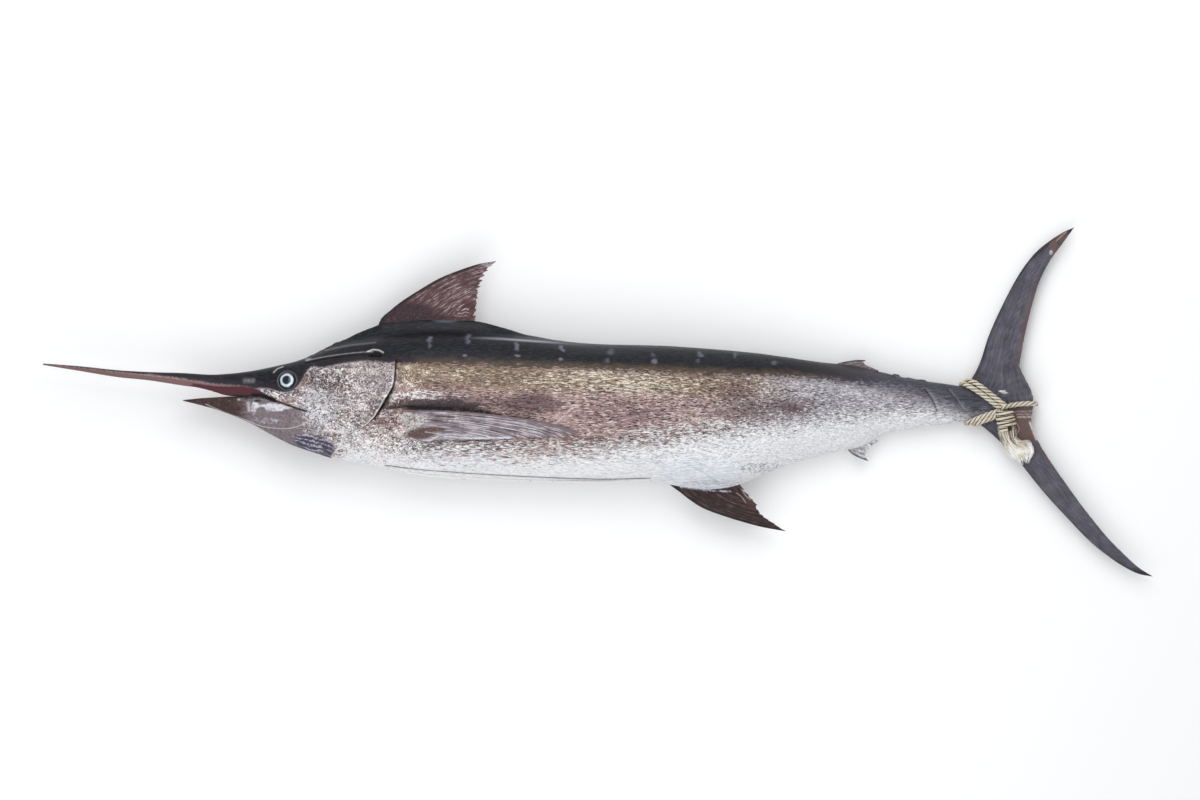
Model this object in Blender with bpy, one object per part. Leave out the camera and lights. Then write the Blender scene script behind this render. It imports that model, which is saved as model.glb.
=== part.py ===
"""A blue marlin as it was landed: life size, lying on its right side, with rope lashed round its tail.

Metres, +Z up. +X runs from bill to tail and +Y from belly to back, so the fish's left side faces up.
The origin is on the floor, under the middle of the fish's length and height.
A station is a distance behind the bill's tip, a height is measured from just above the fork of the
tail, and a side is a distance from the fish's middle plane, positive on its left.
"""

import math
import random
from bisect import bisect_right

import bmesh
import bpy
from mathutils import Vector

OVERALL_LENGTH = 2.611
GAP = 0.0003
GUARD = 0.0004
FLOOR_SOFTNESS = 0.004
LEFT = 1
RIGHT = -1

# Profiles of the body, each a smooth curve through (station, height) at its landmarks.
BACK = (
    (0.000, 0.0907), (0.087, 0.0841), (0.172, 0.0752), (0.251, 0.0705), (0.329, 0.0682),
    (0.392, 0.0645), (0.428, 0.0658), (0.482, 0.0717), (0.538, 0.0823), (0.604, 0.0987),
    (0.674, 0.1257), (0.745, 0.1457), (0.815, 0.1575), (0.933, 0.1645), (1.121, 0.1539),
    (1.274, 0.1386), (1.485, 0.1316), (1.697, 0.1128), (1.896, 0.0811), (2.049, 0.0529),
    (2.155, 0.0376), (2.225, 0.0250), (2.268, 0.0090),
)
BELLY = (
    (0.329, 0.0026), (0.369, -0.0071), (0.425, -0.0235), (0.482, -0.0470), (0.538, -0.0776),
    (0.595, -0.1058), (0.674, -0.1281), (0.745, -0.1445), (0.886, -0.1716), (1.027, -0.1814),
    (1.215, -0.1864), (1.403, -0.1873), (1.544, -0.1927), (1.614, -0.1915), (1.661, -0.1821),
    (1.708, -0.1633), (1.779, -0.1410), (1.896, -0.1081), (1.979, -0.0740), (2.049, -0.0635),
    (2.155, -0.0470), (2.225, -0.0345), (2.268, -0.0185),
)
WIDEST_LEVEL = (
    (0.000, 0.0888), (0.087, 0.0783), (0.172, 0.0658), (0.251, 0.0559), (0.329, 0.0399),
    (0.397, 0.0270), (0.454, 0.0212), (0.573, 0.0094), (0.710, 0.0024), (0.815, 0.0000),
    (0.956, -0.0047), (1.215, -0.0141), (1.591, -0.0188), (1.802, -0.0071), (1.979, -0.0012),
    (2.120, -0.0035), (2.230, -0.0047), (2.268, -0.0049),
)
HALF_WIDTH = (
    (0.000, 0.0015), (0.040, 0.0040), (0.087, 0.0063), (0.172, 0.0095), (0.251, 0.0125),
    (0.329, 0.0170), (0.392, 0.0200), (0.454, 0.0260), (0.510, 0.0340), (0.573, 0.0460),
    (0.623, 0.0560), (0.745, 0.0800), (0.815, 0.0910), (0.909, 0.1010), (1.027, 0.1070),
    (1.215, 0.1100), (1.403, 0.1070), (1.544, 0.0980), (1.685, 0.0840), (1.802, 0.0680),
    (1.896, 0.0550), (1.979, 0.0430), (2.049, 0.0340), (2.120, 0.0265), (2.167, 0.0210),
    (2.230, 0.0130), (2.268, 0.0068),
)
# How square each half of a section is: 2 is an ellipse, less is more pointed.
BACK_FULLNESS = (
    (0.000, 2.0), (0.392, 2.0), (0.573, 2.4), (0.815, 2.2), (1.215, 2.2), (1.900, 2.0), (2.230, 2.2),
)
BELLY_FULLNESS = (
    (0.329, 2.0), (0.573, 1.8), (0.815, 2.0), (1.215, 2.1), (1.900, 1.9), (2.230, 2.2),
)
# Height of the fish's middle plane over the floor: it lies on its flank and its tail sags.
SPINE = (
    (0.000, 0.0880), (0.329, 0.0910), (0.604, 0.0950), (0.815, 0.0985), (1.027, 0.1000),
    (1.215, 0.1000), (1.403, 0.0980), (1.544, 0.0900), (1.685, 0.0770), (1.802, 0.0640),
    (1.896, 0.0540), (2.014, 0.0460), (2.155, 0.0420), (2.331, 0.0400), (2.611, 0.0360),
)
UPPER_LIP = (
    (0.000, 0.0888), (0.087, 0.0783), (0.172, 0.0663), (0.251, 0.0573), (0.329, 0.0409),
    (0.369, 0.0329), (0.397, 0.0259), (0.425, 0.0179), (0.454, 0.0141), (0.510, 0.0122),
    (0.538, 0.0071), (0.566, -0.0024), (0.595, -0.0125), (0.623, -0.0212),
)
PALATE = (
    (0.000, 0.0869), (0.087, 0.0728), (0.172, 0.0588), (0.251, 0.0505), (0.329, 0.0385),
    (0.369, 0.0338), (0.425, 0.0282), (0.482, 0.0247), (0.538, 0.0164), (0.595, -0.0059),
    (0.623, -0.0164),
)
LOWER_LIP = (
    (0.329, 0.0047), (0.369, 0.0087), (0.397, 0.0106), (0.425, 0.0120), (0.454, 0.0120),
    (0.510, 0.0096), (0.538, 0.0054), (0.566, -0.0038), (0.595, -0.0140), (0.623, -0.0228),
)
# Fleshy ridges that the median fins grow from, as heights over the back or under the belly.
SHEATH_HALF_WIDTH = 0.011
BACK_SHEATH = (
    (0.642, 0.0000), (0.674, 0.0059), (0.710, 0.0094), (0.745, 0.0176), (0.780, 0.0247),
    (0.804, 0.0310), (0.839, 0.0310), (0.933, 0.0294), (1.015, 0.0290), (1.050, 0.0247),
    (1.097, 0.0141), (1.133, 0.0059), (1.168, 0.0028), (1.206, 0.0000), (1.820, 0.0000),
    (1.896, 0.0050), (1.950, 0.0050), (2.030, 0.0000),
)
BELLY_SHEATH = (
    (1.450, 0.0000), (1.500, 0.0080), (1.560, 0.0120), (1.620, 0.0080), (1.660, 0.0030),
    (1.700, 0.0000), (1.870, 0.0000), (1.920, 0.0070), (1.950, 0.0060), (1.990, 0.0000),
)

MOUTH_CORNER = 0.623
BILL_ROOT = 0.428
JAW_TIP = 0.329
HEAD_END = 0.773
TRUNK_ENDS = (1.168, 1.544, 1.920)
STOCK_END = 2.268

# Where the ring of a section has its points, as shares of the way from the flank to back or belly.
UPPER_MARKS = (0.0, 0.12, 0.20, 0.28, 0.44, 0.60, 0.75, 0.86, 0.94, 1.0)
LOWER_MARKS = (0.0, 0.12, 0.20, 0.28, 0.46, 0.66, 0.85, 1.0)
BILL_MARKS = (0.0, 0.25, 0.5, 0.75, 1.0)
JAW_MARKS = (0.0, 0.14, 0.3, 0.5, 0.7, 0.86, 1.0)

EYE_STATION = 0.575
EYE_HEIGHT = 0.0505
EYE_RADIUS = 0.0225
EYE_DEPTH = 0.0150
EYE_SUNK = 0.0075
NOSTRILS = ((0.4770, 0.0500), (0.4895, 0.0520))
NOSTRIL_RADIUS = 0.0038
NOSTRIL_DEPTH = 0.0030
LIP_SWELL = 0.0018
JAW_BED = 0.006
KEEL_ANGLE = 18.0
KEEL_RISE = 0.0055
# How far the flank is held off the floor by the folded right pectoral fin that lies under it.
FIN_BED_DEPTH = 0.0072

# The gill cover in side view, as (height, station): its front edge on the cheek and its free rear edge.
COVER_FRONT = (
    (-0.0720, 0.6980), (-0.0500, 0.7030), (-0.0180, 0.7100), (0.0100, 0.7170), (0.0350, 0.7200),
    (0.0620, 0.7240), (0.0850, 0.7320), (0.1060, 0.7450),
)
COVER_REAR = (
    (-0.0720, 0.7380), (-0.0500, 0.7660), (-0.0180, 0.7910), (0.0100, 0.8090), (0.0350, 0.8230),
    (0.0620, 0.8300), (0.0850, 0.8300), (0.1060, 0.8220),
)
COVER_TOP = 0.1060
COVER_FOOT = -0.0720
COVER_THICKNESS = 0.0024
COVER_EDGE_THICKENING = 0.0036
COVER_BEDDING = 0.0035

# The throat flap, each pair from its upper edge to the belly or from its front to its rear.
THROAT_RAYS = 7
THROAT_FRONT = (0.566, 0.586)
THROAT_REAR = (0.717, 0.680)
THROAT_UPPER_EDGE = (-0.0655, -0.0755)
THROAT_LOW_ANGLE = -84.0
THROAT_THICKNESS = (0.0015, 0.0029)
THROAT_RAY_HEIGHT = 0.0013
THROAT_BEDDING = 0.0040

PECTORAL_HINGE = (0.812, -0.034)
PECTORAL_ROOT_DEPTH = 0.010
PECTORAL_PROUD = 0.0050
PECTORAL_EDGE_PROUD = 0.0060
RIGHT_PECTORAL_DROOP = math.radians(6.0)
RIGHT_PECTORAL_LEVEL = 0.0032
RIGHT_PECTORAL_RISE = 0.014
PELVIC_START = 0.835
PELVIC_LENGTH = 0.520
PELVIC_OFF_MIDDLE = (0.0190, 0.0150)
PELVIC_RADIUS = (0.0042, 0.0016)
PELVIC_LIFT = 0.0012
PELVIC_ROOT_DEPTH = 0.008

ROPE_RADIUS = 0.0065
# Routes of the rope as (station, height, side), each from the hitch on the tail's left face.
FRONT_LOOP = (
    (2.256, -0.0180, 0.0150), (2.233, -0.0010, 0.0180), (2.205, 0.0200, 0.0210),
    (2.181, 0.0350, 0.0195), (2.168, 0.0415, 0.0100), (2.163, 0.0430, 0.0000),
    (2.160, 0.0400, -0.0110), (2.160, 0.0280, -0.0210), (2.162, 0.0080, -0.0265),
    (2.165, -0.0150, -0.0265), (2.168, -0.0350, -0.0220), (2.170, -0.0470, -0.0110),
    (2.173, -0.0505, 0.0000), (2.180, -0.0470, 0.0120), (2.203, -0.0365, 0.0185),
    (2.232, -0.0260, 0.0165),
)
REAR_LOOP = (
    (2.262, -0.0080, 0.0165), (2.2405, 0.0090, 0.0175), (2.213, 0.0305, 0.0195),
    (2.1925, 0.0445, 0.0165), (2.180, 0.0495, 0.0080), (2.176, 0.0505, 0.0000),
    (2.173, 0.0470, -0.0100), (2.172, 0.0290, -0.0205), (2.174, 0.0080, -0.0260),
    (2.178, -0.0150, -0.0260), (2.183, -0.0350, -0.0210), (2.187, -0.0480, -0.0110),
    (2.191, -0.0525, 0.0000), (2.197, -0.0500, 0.0105), (2.213, -0.0440, 0.0165),
    (2.238, -0.0340, 0.0165),
)
FORK_TURN = (
    (2.250, -0.0170, 0.0210), (2.262, -0.0115, 0.0185), (2.285, -0.0065, 0.0130),
    (2.310, -0.0040, 0.0095), (2.327, -0.0038, 0.0075), (2.3365, -0.0045, 0.0000),
    (2.327, -0.0060, -0.0080), (2.300, -0.0065, -0.0105), (2.262, -0.0060, -0.0150),
    (2.215, -0.0040, -0.0215), (2.180, -0.0020, -0.0270),
)
KNOT_TOP = (2.2600, -0.0230, 0.0245)
KNOT_FOOT = (2.2680, -0.0640, 0.0235)
KNOT_TURNS = 3.25
KNOT_HALF_WIDTH = 0.0175
KNOT_HALF_HEIGHT = 0.0112
KNOT_CORE_RADII = (0.0090, 0.0138, 0.0138, 0.0100)
# The frayed end's locks of fibre spread from a row of roots under the hitch, each to its tip.
FRAY_ROOTS = ((2.2520, -0.0720, 0.0205), (2.2810, -0.0720, 0.0205))
FRAY_TIPS = (
    (2.2913, -0.1363, 0.0170), (2.3007, -0.1469, 0.0150), (2.3101, -0.1504, 0.0140),
    (2.3195, -0.1434, 0.0135), (2.3265, -0.1340, 0.0130), (2.3310, -0.1222, 0.0130),
    (2.3300, -0.1105, 0.0140), (2.3218, -0.0987, 0.0150),
)
FRAY_LOCK_RADIUS = (0.0058, 0.0046)
FRAY_STUMP_RADII = (0.0062, 0.0085, 0.0090, 0.0040)

SKIN = ("marlin_skin", (0.30, 0.28, 0.29), 0.45)
DARK_SKIN = ("dark_skin", (0.05, 0.05, 0.055), 0.45)
BELLY_SKIN = ("pale_skin", (0.62, 0.60, 0.60), 0.45)
BILL_SKIN = ("bill_skin", (0.12, 0.075, 0.07), 0.5)
FIN_MEMBRANE = ("fin_membrane", (0.10, 0.065, 0.07), 0.5)
TAIL_MEMBRANE = ("tail_membrane", (0.11, 0.105, 0.125), 0.5)
EYE_GLASS = ("eye_glass", (0.35, 0.42, 0.50), 0.1)
ROPE_FIBRE = ("rope_fibre", (0.62, 0.54, 0.42), 0.9)


class Fin:
    """A fin in side view: four edges, and the rays that run from its root to its trailing edge."""

    def __init__(self, root, leading, trailing, last_ray):
        self.root, self.leading = root, leading
        self.trailing, self.last_ray = trailing, last_ray

    def point(self, out, back):
        """Station and height at a share of the way out along the rays and back across them."""
        base, edge = along(self.root, back), along(self.trailing, back)
        first, last = along(self.leading, out), along(self.last_ray, out)
        corners = (self.root[0], self.root[-1], self.trailing[0], self.trailing[-1])
        place = []
        for axis in (0, 1):
            blend = (1 - out) * base[axis] + out * edge[axis]
            blend += (1 - back) * first[axis] + back * last[axis]
            blend -= (1 - out) * ((1 - back) * corners[0][axis] + back * corners[1][axis])
            blend -= out * ((1 - back) * corners[2][axis] + back * corners[3][axis])
            place.append(blend)
        return place


DORSAL = Fin(
    root=((0.783, 0.160), (0.886, 0.162), (0.980, 0.162), (1.015, 0.160)),
    leading=(
        (0.783, 0.160), (0.794, 0.194), (0.815, 0.214), (0.844, 0.237), (0.886, 0.264),
        (0.933, 0.291), (0.980, 0.310), (1.027, 0.325), (1.065, 0.331),
    ),
    trailing=(
        (1.065, 0.331), (1.046, 0.308), (1.032, 0.280), (1.024, 0.250), (1.020, 0.221),
        (1.018, 0.190),
    ),
    last_ray=((1.015, 0.160), (1.018, 0.190)),
)
ANAL = Fin(
    root=((1.459, -0.176), (1.520, -0.180), (1.600, -0.180), (1.633, -0.176)),
    leading=(
        (1.459, -0.176), (1.473, -0.194), (1.497, -0.212), (1.520, -0.230), (1.550, -0.249),
        (1.591, -0.265), (1.638, -0.280), (1.690, -0.294), (1.746, -0.304),
    ),
    trailing=(
        (1.746, -0.304), (1.722, -0.287), (1.700, -0.272), (1.686, -0.258), (1.680, -0.242),
        (1.666, -0.226), (1.650, -0.208), (1.640, -0.194),
    ),
    last_ray=((1.633, -0.176), (1.640, -0.194)),
)
SECOND_DORSAL = Fin(
    root=((1.846, 0.080), (1.890, 0.074), (1.930, 0.068), (1.960, 0.063)),
    leading=((1.846, 0.080), (1.868, 0.0905), (1.892, 0.0960), (1.915, 0.0990), (1.934, 0.0985)),
    trailing=((1.934, 0.0985), (1.931, 0.0925), (1.940, 0.0850), (1.965, 0.0765)),
    last_ray=((1.960, 0.063), (1.965, 0.0765)),
)
SECOND_ANAL = Fin(
    root=((1.884, -0.098), (1.910, -0.092), (1.935, -0.084), (1.955, -0.078)),
    leading=(
        (1.884, -0.098), (1.892, -0.1120), (1.903, -0.1230), (1.918, -0.1310), (1.941, -0.1395),
    ),
    trailing=(
        (1.941, -0.1395), (1.934, -0.1260), (1.938, -0.1140), (1.950, -0.1030), (1.966, -0.0930),
    ),
    last_ray=((1.955, -0.078), (1.966, -0.0930)),
)
UPPER_LOBE = Fin(
    root=((2.155, 0.026), (2.185, 0.018), (2.205, 0.008), (2.215, -0.0047)),
    leading=(
        (2.155, 0.026), (2.178, 0.047), (2.202, 0.089), (2.225, 0.158), (2.261, 0.237),
        (2.296, 0.301), (2.331, 0.348), (2.366, 0.378), (2.402, 0.401), (2.4255, 0.411),
    ),
    trailing=(
        (2.4255, 0.411), (2.399, 0.374), (2.366, 0.328), (2.343, 0.281), (2.327, 0.230),
        (2.313, 0.174), (2.303, 0.122), (2.298, 0.085), (2.310, 0.056), (2.322, 0.033),
        (2.329, 0.012), (2.331, -0.0047),
    ),
    last_ray=((2.215, -0.0047), (2.331, -0.0047)),
)
LOWER_LOBE = Fin(
    root=((2.155, -0.036), (2.185, -0.028), (2.205, -0.018), (2.215, -0.0051)),
    leading=(
        (2.155, -0.036), (2.193, -0.047), (2.225, -0.070), (2.261, -0.103), (2.296, -0.137),
        (2.331, -0.181), (2.366, -0.223), (2.402, -0.262), (2.437, -0.298), (2.472, -0.334),
        (2.507, -0.364), (2.543, -0.388), (2.578, -0.405), (2.611, -0.411),
    ),
    trailing=(
        (2.611, -0.411), (2.578, -0.390), (2.543, -0.358), (2.507, -0.322), (2.472, -0.280),
        (2.437, -0.235), (2.402, -0.186), (2.366, -0.134), (2.343, -0.096), (2.329, -0.068),
        (2.325, -0.042), (2.331, -0.0051),
    ),
    last_ray=((2.215, -0.0051), (2.331, -0.0051)),
)
PECTORAL = Fin(
    root=((0.812, -0.034), (0.822, -0.055), (0.838, -0.073), (0.856, -0.085)),
    leading=(
        (0.812, -0.034), (0.839, -0.023), (0.886, -0.0195), (0.933, -0.0200), (1.027, -0.0260),
        (1.121, -0.0375), (1.215, -0.0555), (1.262, -0.0715),
    ),
    trailing=(
        (1.262, -0.0715), (1.215, -0.0805), (1.121, -0.0855), (1.027, -0.0880), (0.933, -0.0900),
        (0.898, -0.0920),
    ),
    last_ray=((0.856, -0.085), (0.898, -0.0920)),
)


def clear_scene():
    """Empties the startup scene and gives it the collections for the parts and for the cutters."""
    for thing in list(bpy.data.objects):
        bpy.data.objects.remove(thing, do_unlink=True)
    for name in ("blue_marlin", "cutters"):
        collection = bpy.data.collections.new(name)
        bpy.context.scene.collection.children.link(collection)


def finish(name, colour, roughness):
    """The Principled material of this name, made once."""
    material = bpy.data.materials.get(name)
    if material is None:
        material = bpy.data.materials.new(name)
        material.use_nodes = True
        shader = material.node_tree.nodes["Principled BSDF"]
        shader.inputs["Base Color"].default_value = (*colour, 1.0)
        shader.inputs["Roughness"].default_value = roughness
    return material


def through(points, at):
    """The value at a station of the smooth curve through these points, level beyond its ends."""
    if at <= points[0][0]:
        return points[0][1]
    if at >= points[-1][0]:
        return points[-1][1]
    k = bisect_right([p[0] for p in points], at) - 1

    def slope(i):
        before, after = points[max(i - 1, 0)], points[min(i + 1, len(points) - 1)]
        return (after[1] - before[1]) / (after[0] - before[0])

    (x0, y0), (x1, y1) = points[k], points[k + 1]
    width = x1 - x0
    t = (at - x0) / width
    return (
        y0 * (1 + 2 * t) * (1 - t) ** 2
        + y1 * t * t * (3 - 2 * t)
        + width * (slope(k) * t * (1 - t) ** 2 + slope(k + 1) * t * t * (t - 1))
    )


def along(points, share):
    """The point at a share of the way along the smooth line through these points."""
    travelled = [0.0]
    for a, b in zip(points, points[1:]):
        travelled.append(travelled[-1] + math.dist(a, b))
    at = share * travelled[-1]
    return tuple(
        through([(d, p[axis]) for d, p in zip(travelled, points)], at)
        for axis in range(len(points[0]))
    )


def between(pair, share):
    """The value at a share of the way from the first of a pair to the second."""
    return pair[0] + (pair[1] - pair[0]) * share


def ease(value, start, end):
    """0 before start, 1 after end, and smooth between them."""
    t = min(1.0, max(0.0, (value - start) / (end - start)))
    return t * t * (3 - 2 * t)


def settle(z, floor):
    """A height over the ground, pressed flat where it would sink below the floor level."""
    over = z - floor
    if over >= FLOOR_SOFTNESS:
        return z
    if over <= -FLOOR_SOFTNESS:
        return floor
    return floor + (over + FLOOR_SOFTNESS) ** 2 / (4 * FLOOR_SOFTNESS)


def lay(station, height, side, floor=0.0):
    """A point of the fish, placed as the fish lies."""
    z = settle(through(SPINE, station) + side, floor)
    return Vector((station - OVERALL_LENGTH / 2, height, z))


def bed_level(station, height):
    """How far the flank is pushed up at this place by the fin that lies under it."""
    edge = -0.0030 - 0.21 * (station - 0.804)
    below = ease(edge - height, -0.010, 0.004)
    lengthwise = ease(station, 0.760, 0.800) * (1 - ease(station, 1.290, 1.330))
    return FIN_BED_DEPTH * below * lengthwise


def flank(station, angle):
    """Height and side of the body's outline: 90 degrees is the back, 0 the left side, -90 the belly."""
    turn = math.radians(angle)
    across, up = math.cos(turn), math.sin(turn)
    level = through(WIDEST_LEVEL, station)
    if up >= 0:
        reach = through(BACK, station) - level
        power = 2 / through(BACK_FULLNESS, station)
    else:
        reach = level - through(BELLY, station)
        power = 2 / through(BELLY_FULLNESS, station)
    side = math.copysign(abs(across) ** power, across) * through(HALF_WIDTH, station)
    height = level + math.copysign(abs(up) ** power, up) * reach
    side += math.copysign(keel(station, angle) + lip_swell(station, angle), across)
    sheath = math.exp(-((side / SHEATH_HALF_WIDTH) ** 2))
    if up > 0:
        height += sheath * through(BACK_SHEATH, station)
    else:
        height -= sheath * through(BELLY_SHEATH, station)
    return height, side


def keel(station, angle):
    """The two low keels on each side of the tail stock, which draw together towards the fork."""
    lengthwise = ease(station, 2.085, 2.140) * (1 - 0.7 * ease(station, 2.190, 2.230))
    off_axis = abs(abs((angle + 90) % 180 - 90) - KEEL_ANGLE)
    return KEEL_RISE * lengthwise * math.exp(-((off_axis / 6.0) ** 2))


def angle_at(station, height):
    """The angle at which the left flank reaches a height."""
    level = through(WIDEST_LEVEL, station)
    if height >= level:
        share = (height - level) / (through(BACK, station) - level)
        power = through(BACK_FULLNESS, station) / 2
        return math.degrees(math.asin(min(1.0, share) ** power))
    share = (level - height) / (level - through(BELLY, station))
    power = through(BELLY_FULLNESS, station) / 2
    return -math.degrees(math.asin(min(1.0, share) ** power))


def lip_swell(station, angle):
    """The rounded lips that stand out just above and below the line of the mouth."""
    if not JAW_TIP < station < 0.70:
        return 0.0
    leaning = abs((angle + 90) % 180 - 90) * math.copysign(1, math.sin(math.radians(angle)))
    upper = leaning - angle_at(station, through(UPPER_LIP, station)) - 8.0
    lower = leaning - angle_at(station, through(LOWER_LIP, station)) + 9.0
    lengthwise = ease(station, 0.36, 0.44) * (1 - ease(station, 0.61, 0.66))
    lips = math.exp(-((upper / 5.0) ** 2)) + math.exp(-((lower / 5.0) ** 2))
    return LIP_SWELL * lengthwise * lips


def on_skin(station, angle, lift=0.0):
    """A point on the body's surface, or lifted off it along the normal."""
    here = lay(station, *flank(station, angle), bed_level(station, flank(station, angle)[0]))
    if lift == 0.0:
        return here
    small, turn = 0.001, 1.0
    fore, aft = flank(station - small, angle), flank(station + small, angle)
    low, high = flank(station, angle - turn), flank(station, angle + turn)
    lengthwise = Vector((2 * small, aft[0] - fore[0], aft[1] - fore[1]))
    girthwise = Vector((0.0, high[0] - low[0], high[1] - low[1]))
    # With +Z to the left, tail-wards crossed with belly-to-back-wards points out of the body.
    out = lengthwise.cross(girthwise).normalized()
    lifted = here + out * lift
    lifted.z = max(lifted.z, 0.0)
    return lifted


def upper_ring(station, marks, closing):
    """A section from the left lip over the back to the right lip, closed across the palate or belly."""
    behind = ease(station, MOUTH_CORNER, HEAD_END)
    seam = through(UPPER_LIP, station)
    lip = angle_at(station, seam + (through(WIDEST_LEVEL, station) - seam) * behind)
    left = [lip + (90 - lip) * mark for mark in marks]
    angles = left + [180 - angle for angle in reversed(left[:-1])]
    ring = [on_skin(station, angle) for angle in angles]
    if station > MOUTH_CORNER:
        lower = [180 - lip + (90 + lip) * mark for mark in closing[1:]]
        ring += [on_skin(station, angle) for angle in lower]
        ring += [on_skin(station, 180 - angle) for angle in reversed(lower[:-1])]
        return ring
    lip_height, lip_side = flank(station, lip)
    arch = through(PALATE, station) - lip_height
    shares = list(closing[1:]) + [2 - mark for mark in reversed(closing[1:-1])]
    for share in shares:
        turn = math.radians(180 - 90 * share)
        ring.append(lay(station, lip_height + arch * math.sin(turn), lip_side * math.cos(turn)))
    return ring


def lower_ring(station, marks):
    """A section of the lower jaw, from lip to lip round the chin and closed over the mouth's floor."""
    lip = angle_at(station, through(LOWER_LIP, station))
    right = [180 - lip + (90 + lip) * mark for mark in marks]
    ring = [on_skin(station, angle) for angle in right]
    ring += [on_skin(station, 180 - angle) for angle in reversed(right[:-1])]
    lip_height, lip_side = flank(station, lip)
    dip = min(JAW_BED, 0.35 * (lip_height - through(BELLY, station)))
    for share in (0.25, 0.5, 0.75):
        turn = math.pi * share
        ring.append(lay(station, lip_height - dip * math.sin(turn), lip_side * math.cos(turn)))
    return ring


def spaced(start, end, step):
    """Stations from start to end, about a step apart, each end held back by half the gap."""
    count = max(1, round((end - start) / step))
    low, high = start + GAP / 2, end - GAP / 2
    return [low + (high - low) * i / count for i in range(count + 1)]


def add_object(name, mesh_maker, collection="blue_marlin", material=SKIN):
    """A new object whose faces point out, from a bmesh."""
    mesh_maker.normal_update()
    bmesh.ops.recalc_face_normals(mesh_maker, faces=mesh_maker.faces)
    mesh = bpy.data.meshes.new(name)
    mesh_maker.to_mesh(mesh)
    mesh_maker.free()
    thing = bpy.data.objects.new(name, mesh)
    bpy.data.collections[collection].objects.link(thing)
    thing.data.materials.append(finish(*material))
    if collection == "cutters":
        thing.hide_render = True
        thing.display_type = "WIRE"
    return thing


def tube(rings):
    """A closed bmesh through rings of points, with a flat cap at each end."""
    shell = bmesh.new()
    rows = [[shell.verts.new(point) for point in ring] for ring in rings]
    for row, following in zip(rows, rows[1:]):
        for k, corner in enumerate(row):
            nxt = (k + 1) % len(row)
            shell.faces.new((corner, row[nxt], following[nxt], following[k]))
    shell.faces.new(rows[0])
    shell.faces.new(rows[-1])
    return shell


def sheet(left, right):
    """A closed bmesh between two grids of points, split into triangles alike on both faces."""
    shell = bmesh.new()
    faces = [[[shell.verts.new(p) for p in row] for row in grid] for grid in (left, right)]
    rows, columns = len(left), len(left[0])
    for grid in faces:
        for i in range(rows - 1):
            for j in range(columns - 1):
                a, b = grid[i][j], grid[i][j + 1]
                c, d = grid[i + 1][j + 1], grid[i + 1][j]
                shell.faces.new((a, b, c))
                shell.faces.new((a, c, d))
    rim = [(0, j) for j in range(columns)] + [(i, columns - 1) for i in range(1, rows)]
    rim += [(rows - 1, j) for j in range(columns - 2, -1, -1)]
    rim += [(i, 0) for i in range(rows - 2, 0, -1)]
    for (i, j), (m, n) in zip(rim, rim[1:] + rim[:1]):
        shell.faces.new((faces[0][i][j], faces[0][m][n], faces[1][m][n], faces[1][i][j]))
    return shell


def swollen(name, shell):
    """A cutter: the shell grown by the gap that touching pieces keep."""
    shell.normal_update()
    bmesh.ops.recalc_face_normals(shell, faces=shell.faces)
    shell.normal_update()
    for corner in shell.verts:
        corner.co += corner.normal * GUARD
    return add_object(name, shell, "cutters")


def largest_surface(thing):
    """Keeps only the closed surface of the most faces, so that no scrap of a cut stays."""
    shell = bmesh.new()
    shell.from_mesh(thing.data)
    waiting = set(shell.faces)
    surfaces = []
    while waiting:
        front = [waiting.pop()]
        surface = set(front)
        while front:
            for edge in front.pop().edges:
                for face in edge.link_faces:
                    if face not in surface:
                        surface.add(face)
                        front.append(face)
        waiting -= surface
        surfaces.append(surface)
    surfaces.sort(key=len)
    loose = [face for surface in surfaces[:-1] for face in surface]
    bmesh.ops.delete(shell, geom=loose, context="FACES")
    shell.to_mesh(thing.data)
    shell.free()


def apply_boolean(thing, operation, cutter=None, pieces=None):
    """Cuts a mesh object by another, or joins it with a collection, and keeps the largest surface."""
    modifier = thing.modifiers.new("fit", "BOOLEAN")
    modifier.operation = operation
    modifier.solver = "EXACT"
    if pieces is None:
        modifier.object = cutter
    else:
        modifier.operand_type = "COLLECTION"
        modifier.collection = pieces
    graph = bpy.context.evaluated_depsgraph_get()
    graph.update()
    result = bpy.data.meshes.new_from_object(thing.evaluated_get(graph), depsgraph=graph)
    thing.modifiers.clear()
    thing.data = result
    largest_surface(thing)


def cut_clear(thing, *cutters):
    """Trims a node so that it meets what each cutter stands for face to face."""
    for cutter in cutters:
        apply_boolean(thing, "DIFFERENCE", cutter=cutter)


def fused(name, shells, material):
    """One node from several overlapping closed shells."""
    pieces = bpy.data.collections.new(name + "_pieces")
    bpy.context.scene.collection.children.link(pieces)
    first, *others = shells
    node = add_object(name, first, material=material)
    for k, shell in enumerate(others):
        piece = add_object(f"{name}_piece_{k}", shell, "cutters")
        bpy.data.collections["cutters"].objects.unlink(piece)
        pieces.objects.link(piece)
    apply_boolean(node, "UNION", pieces=pieces)
    for piece in list(pieces.objects):
        bpy.data.objects.remove(piece, do_unlink=True)
    bpy.data.collections.remove(pieces)
    return node


def round_tube(points, radii, sides):
    """A closed tube of changing radius along a line of points."""
    rings = []
    upright = Vector((0.0, 0.0, 1.0))
    for k, point in enumerate(points):
        ahead = points[min(k + 1, len(points) - 1)] - points[max(k - 1, 0)]
        across = ahead.cross(upright)
        if across.length < 1e-6 * ahead.length:
            across = ahead.cross(Vector((0.0, 1.0, 0.0)))
        across.normalize()
        over = across.cross(ahead).normalized()
        ring = []
        for side in range(sides):
            turn = math.tau * side / sides
            ring.append(point + radii[k] * (across * math.cos(turn) + over * math.sin(turn)))
        rings.append(ring)
        upright = over
    return tube(rings)


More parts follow.
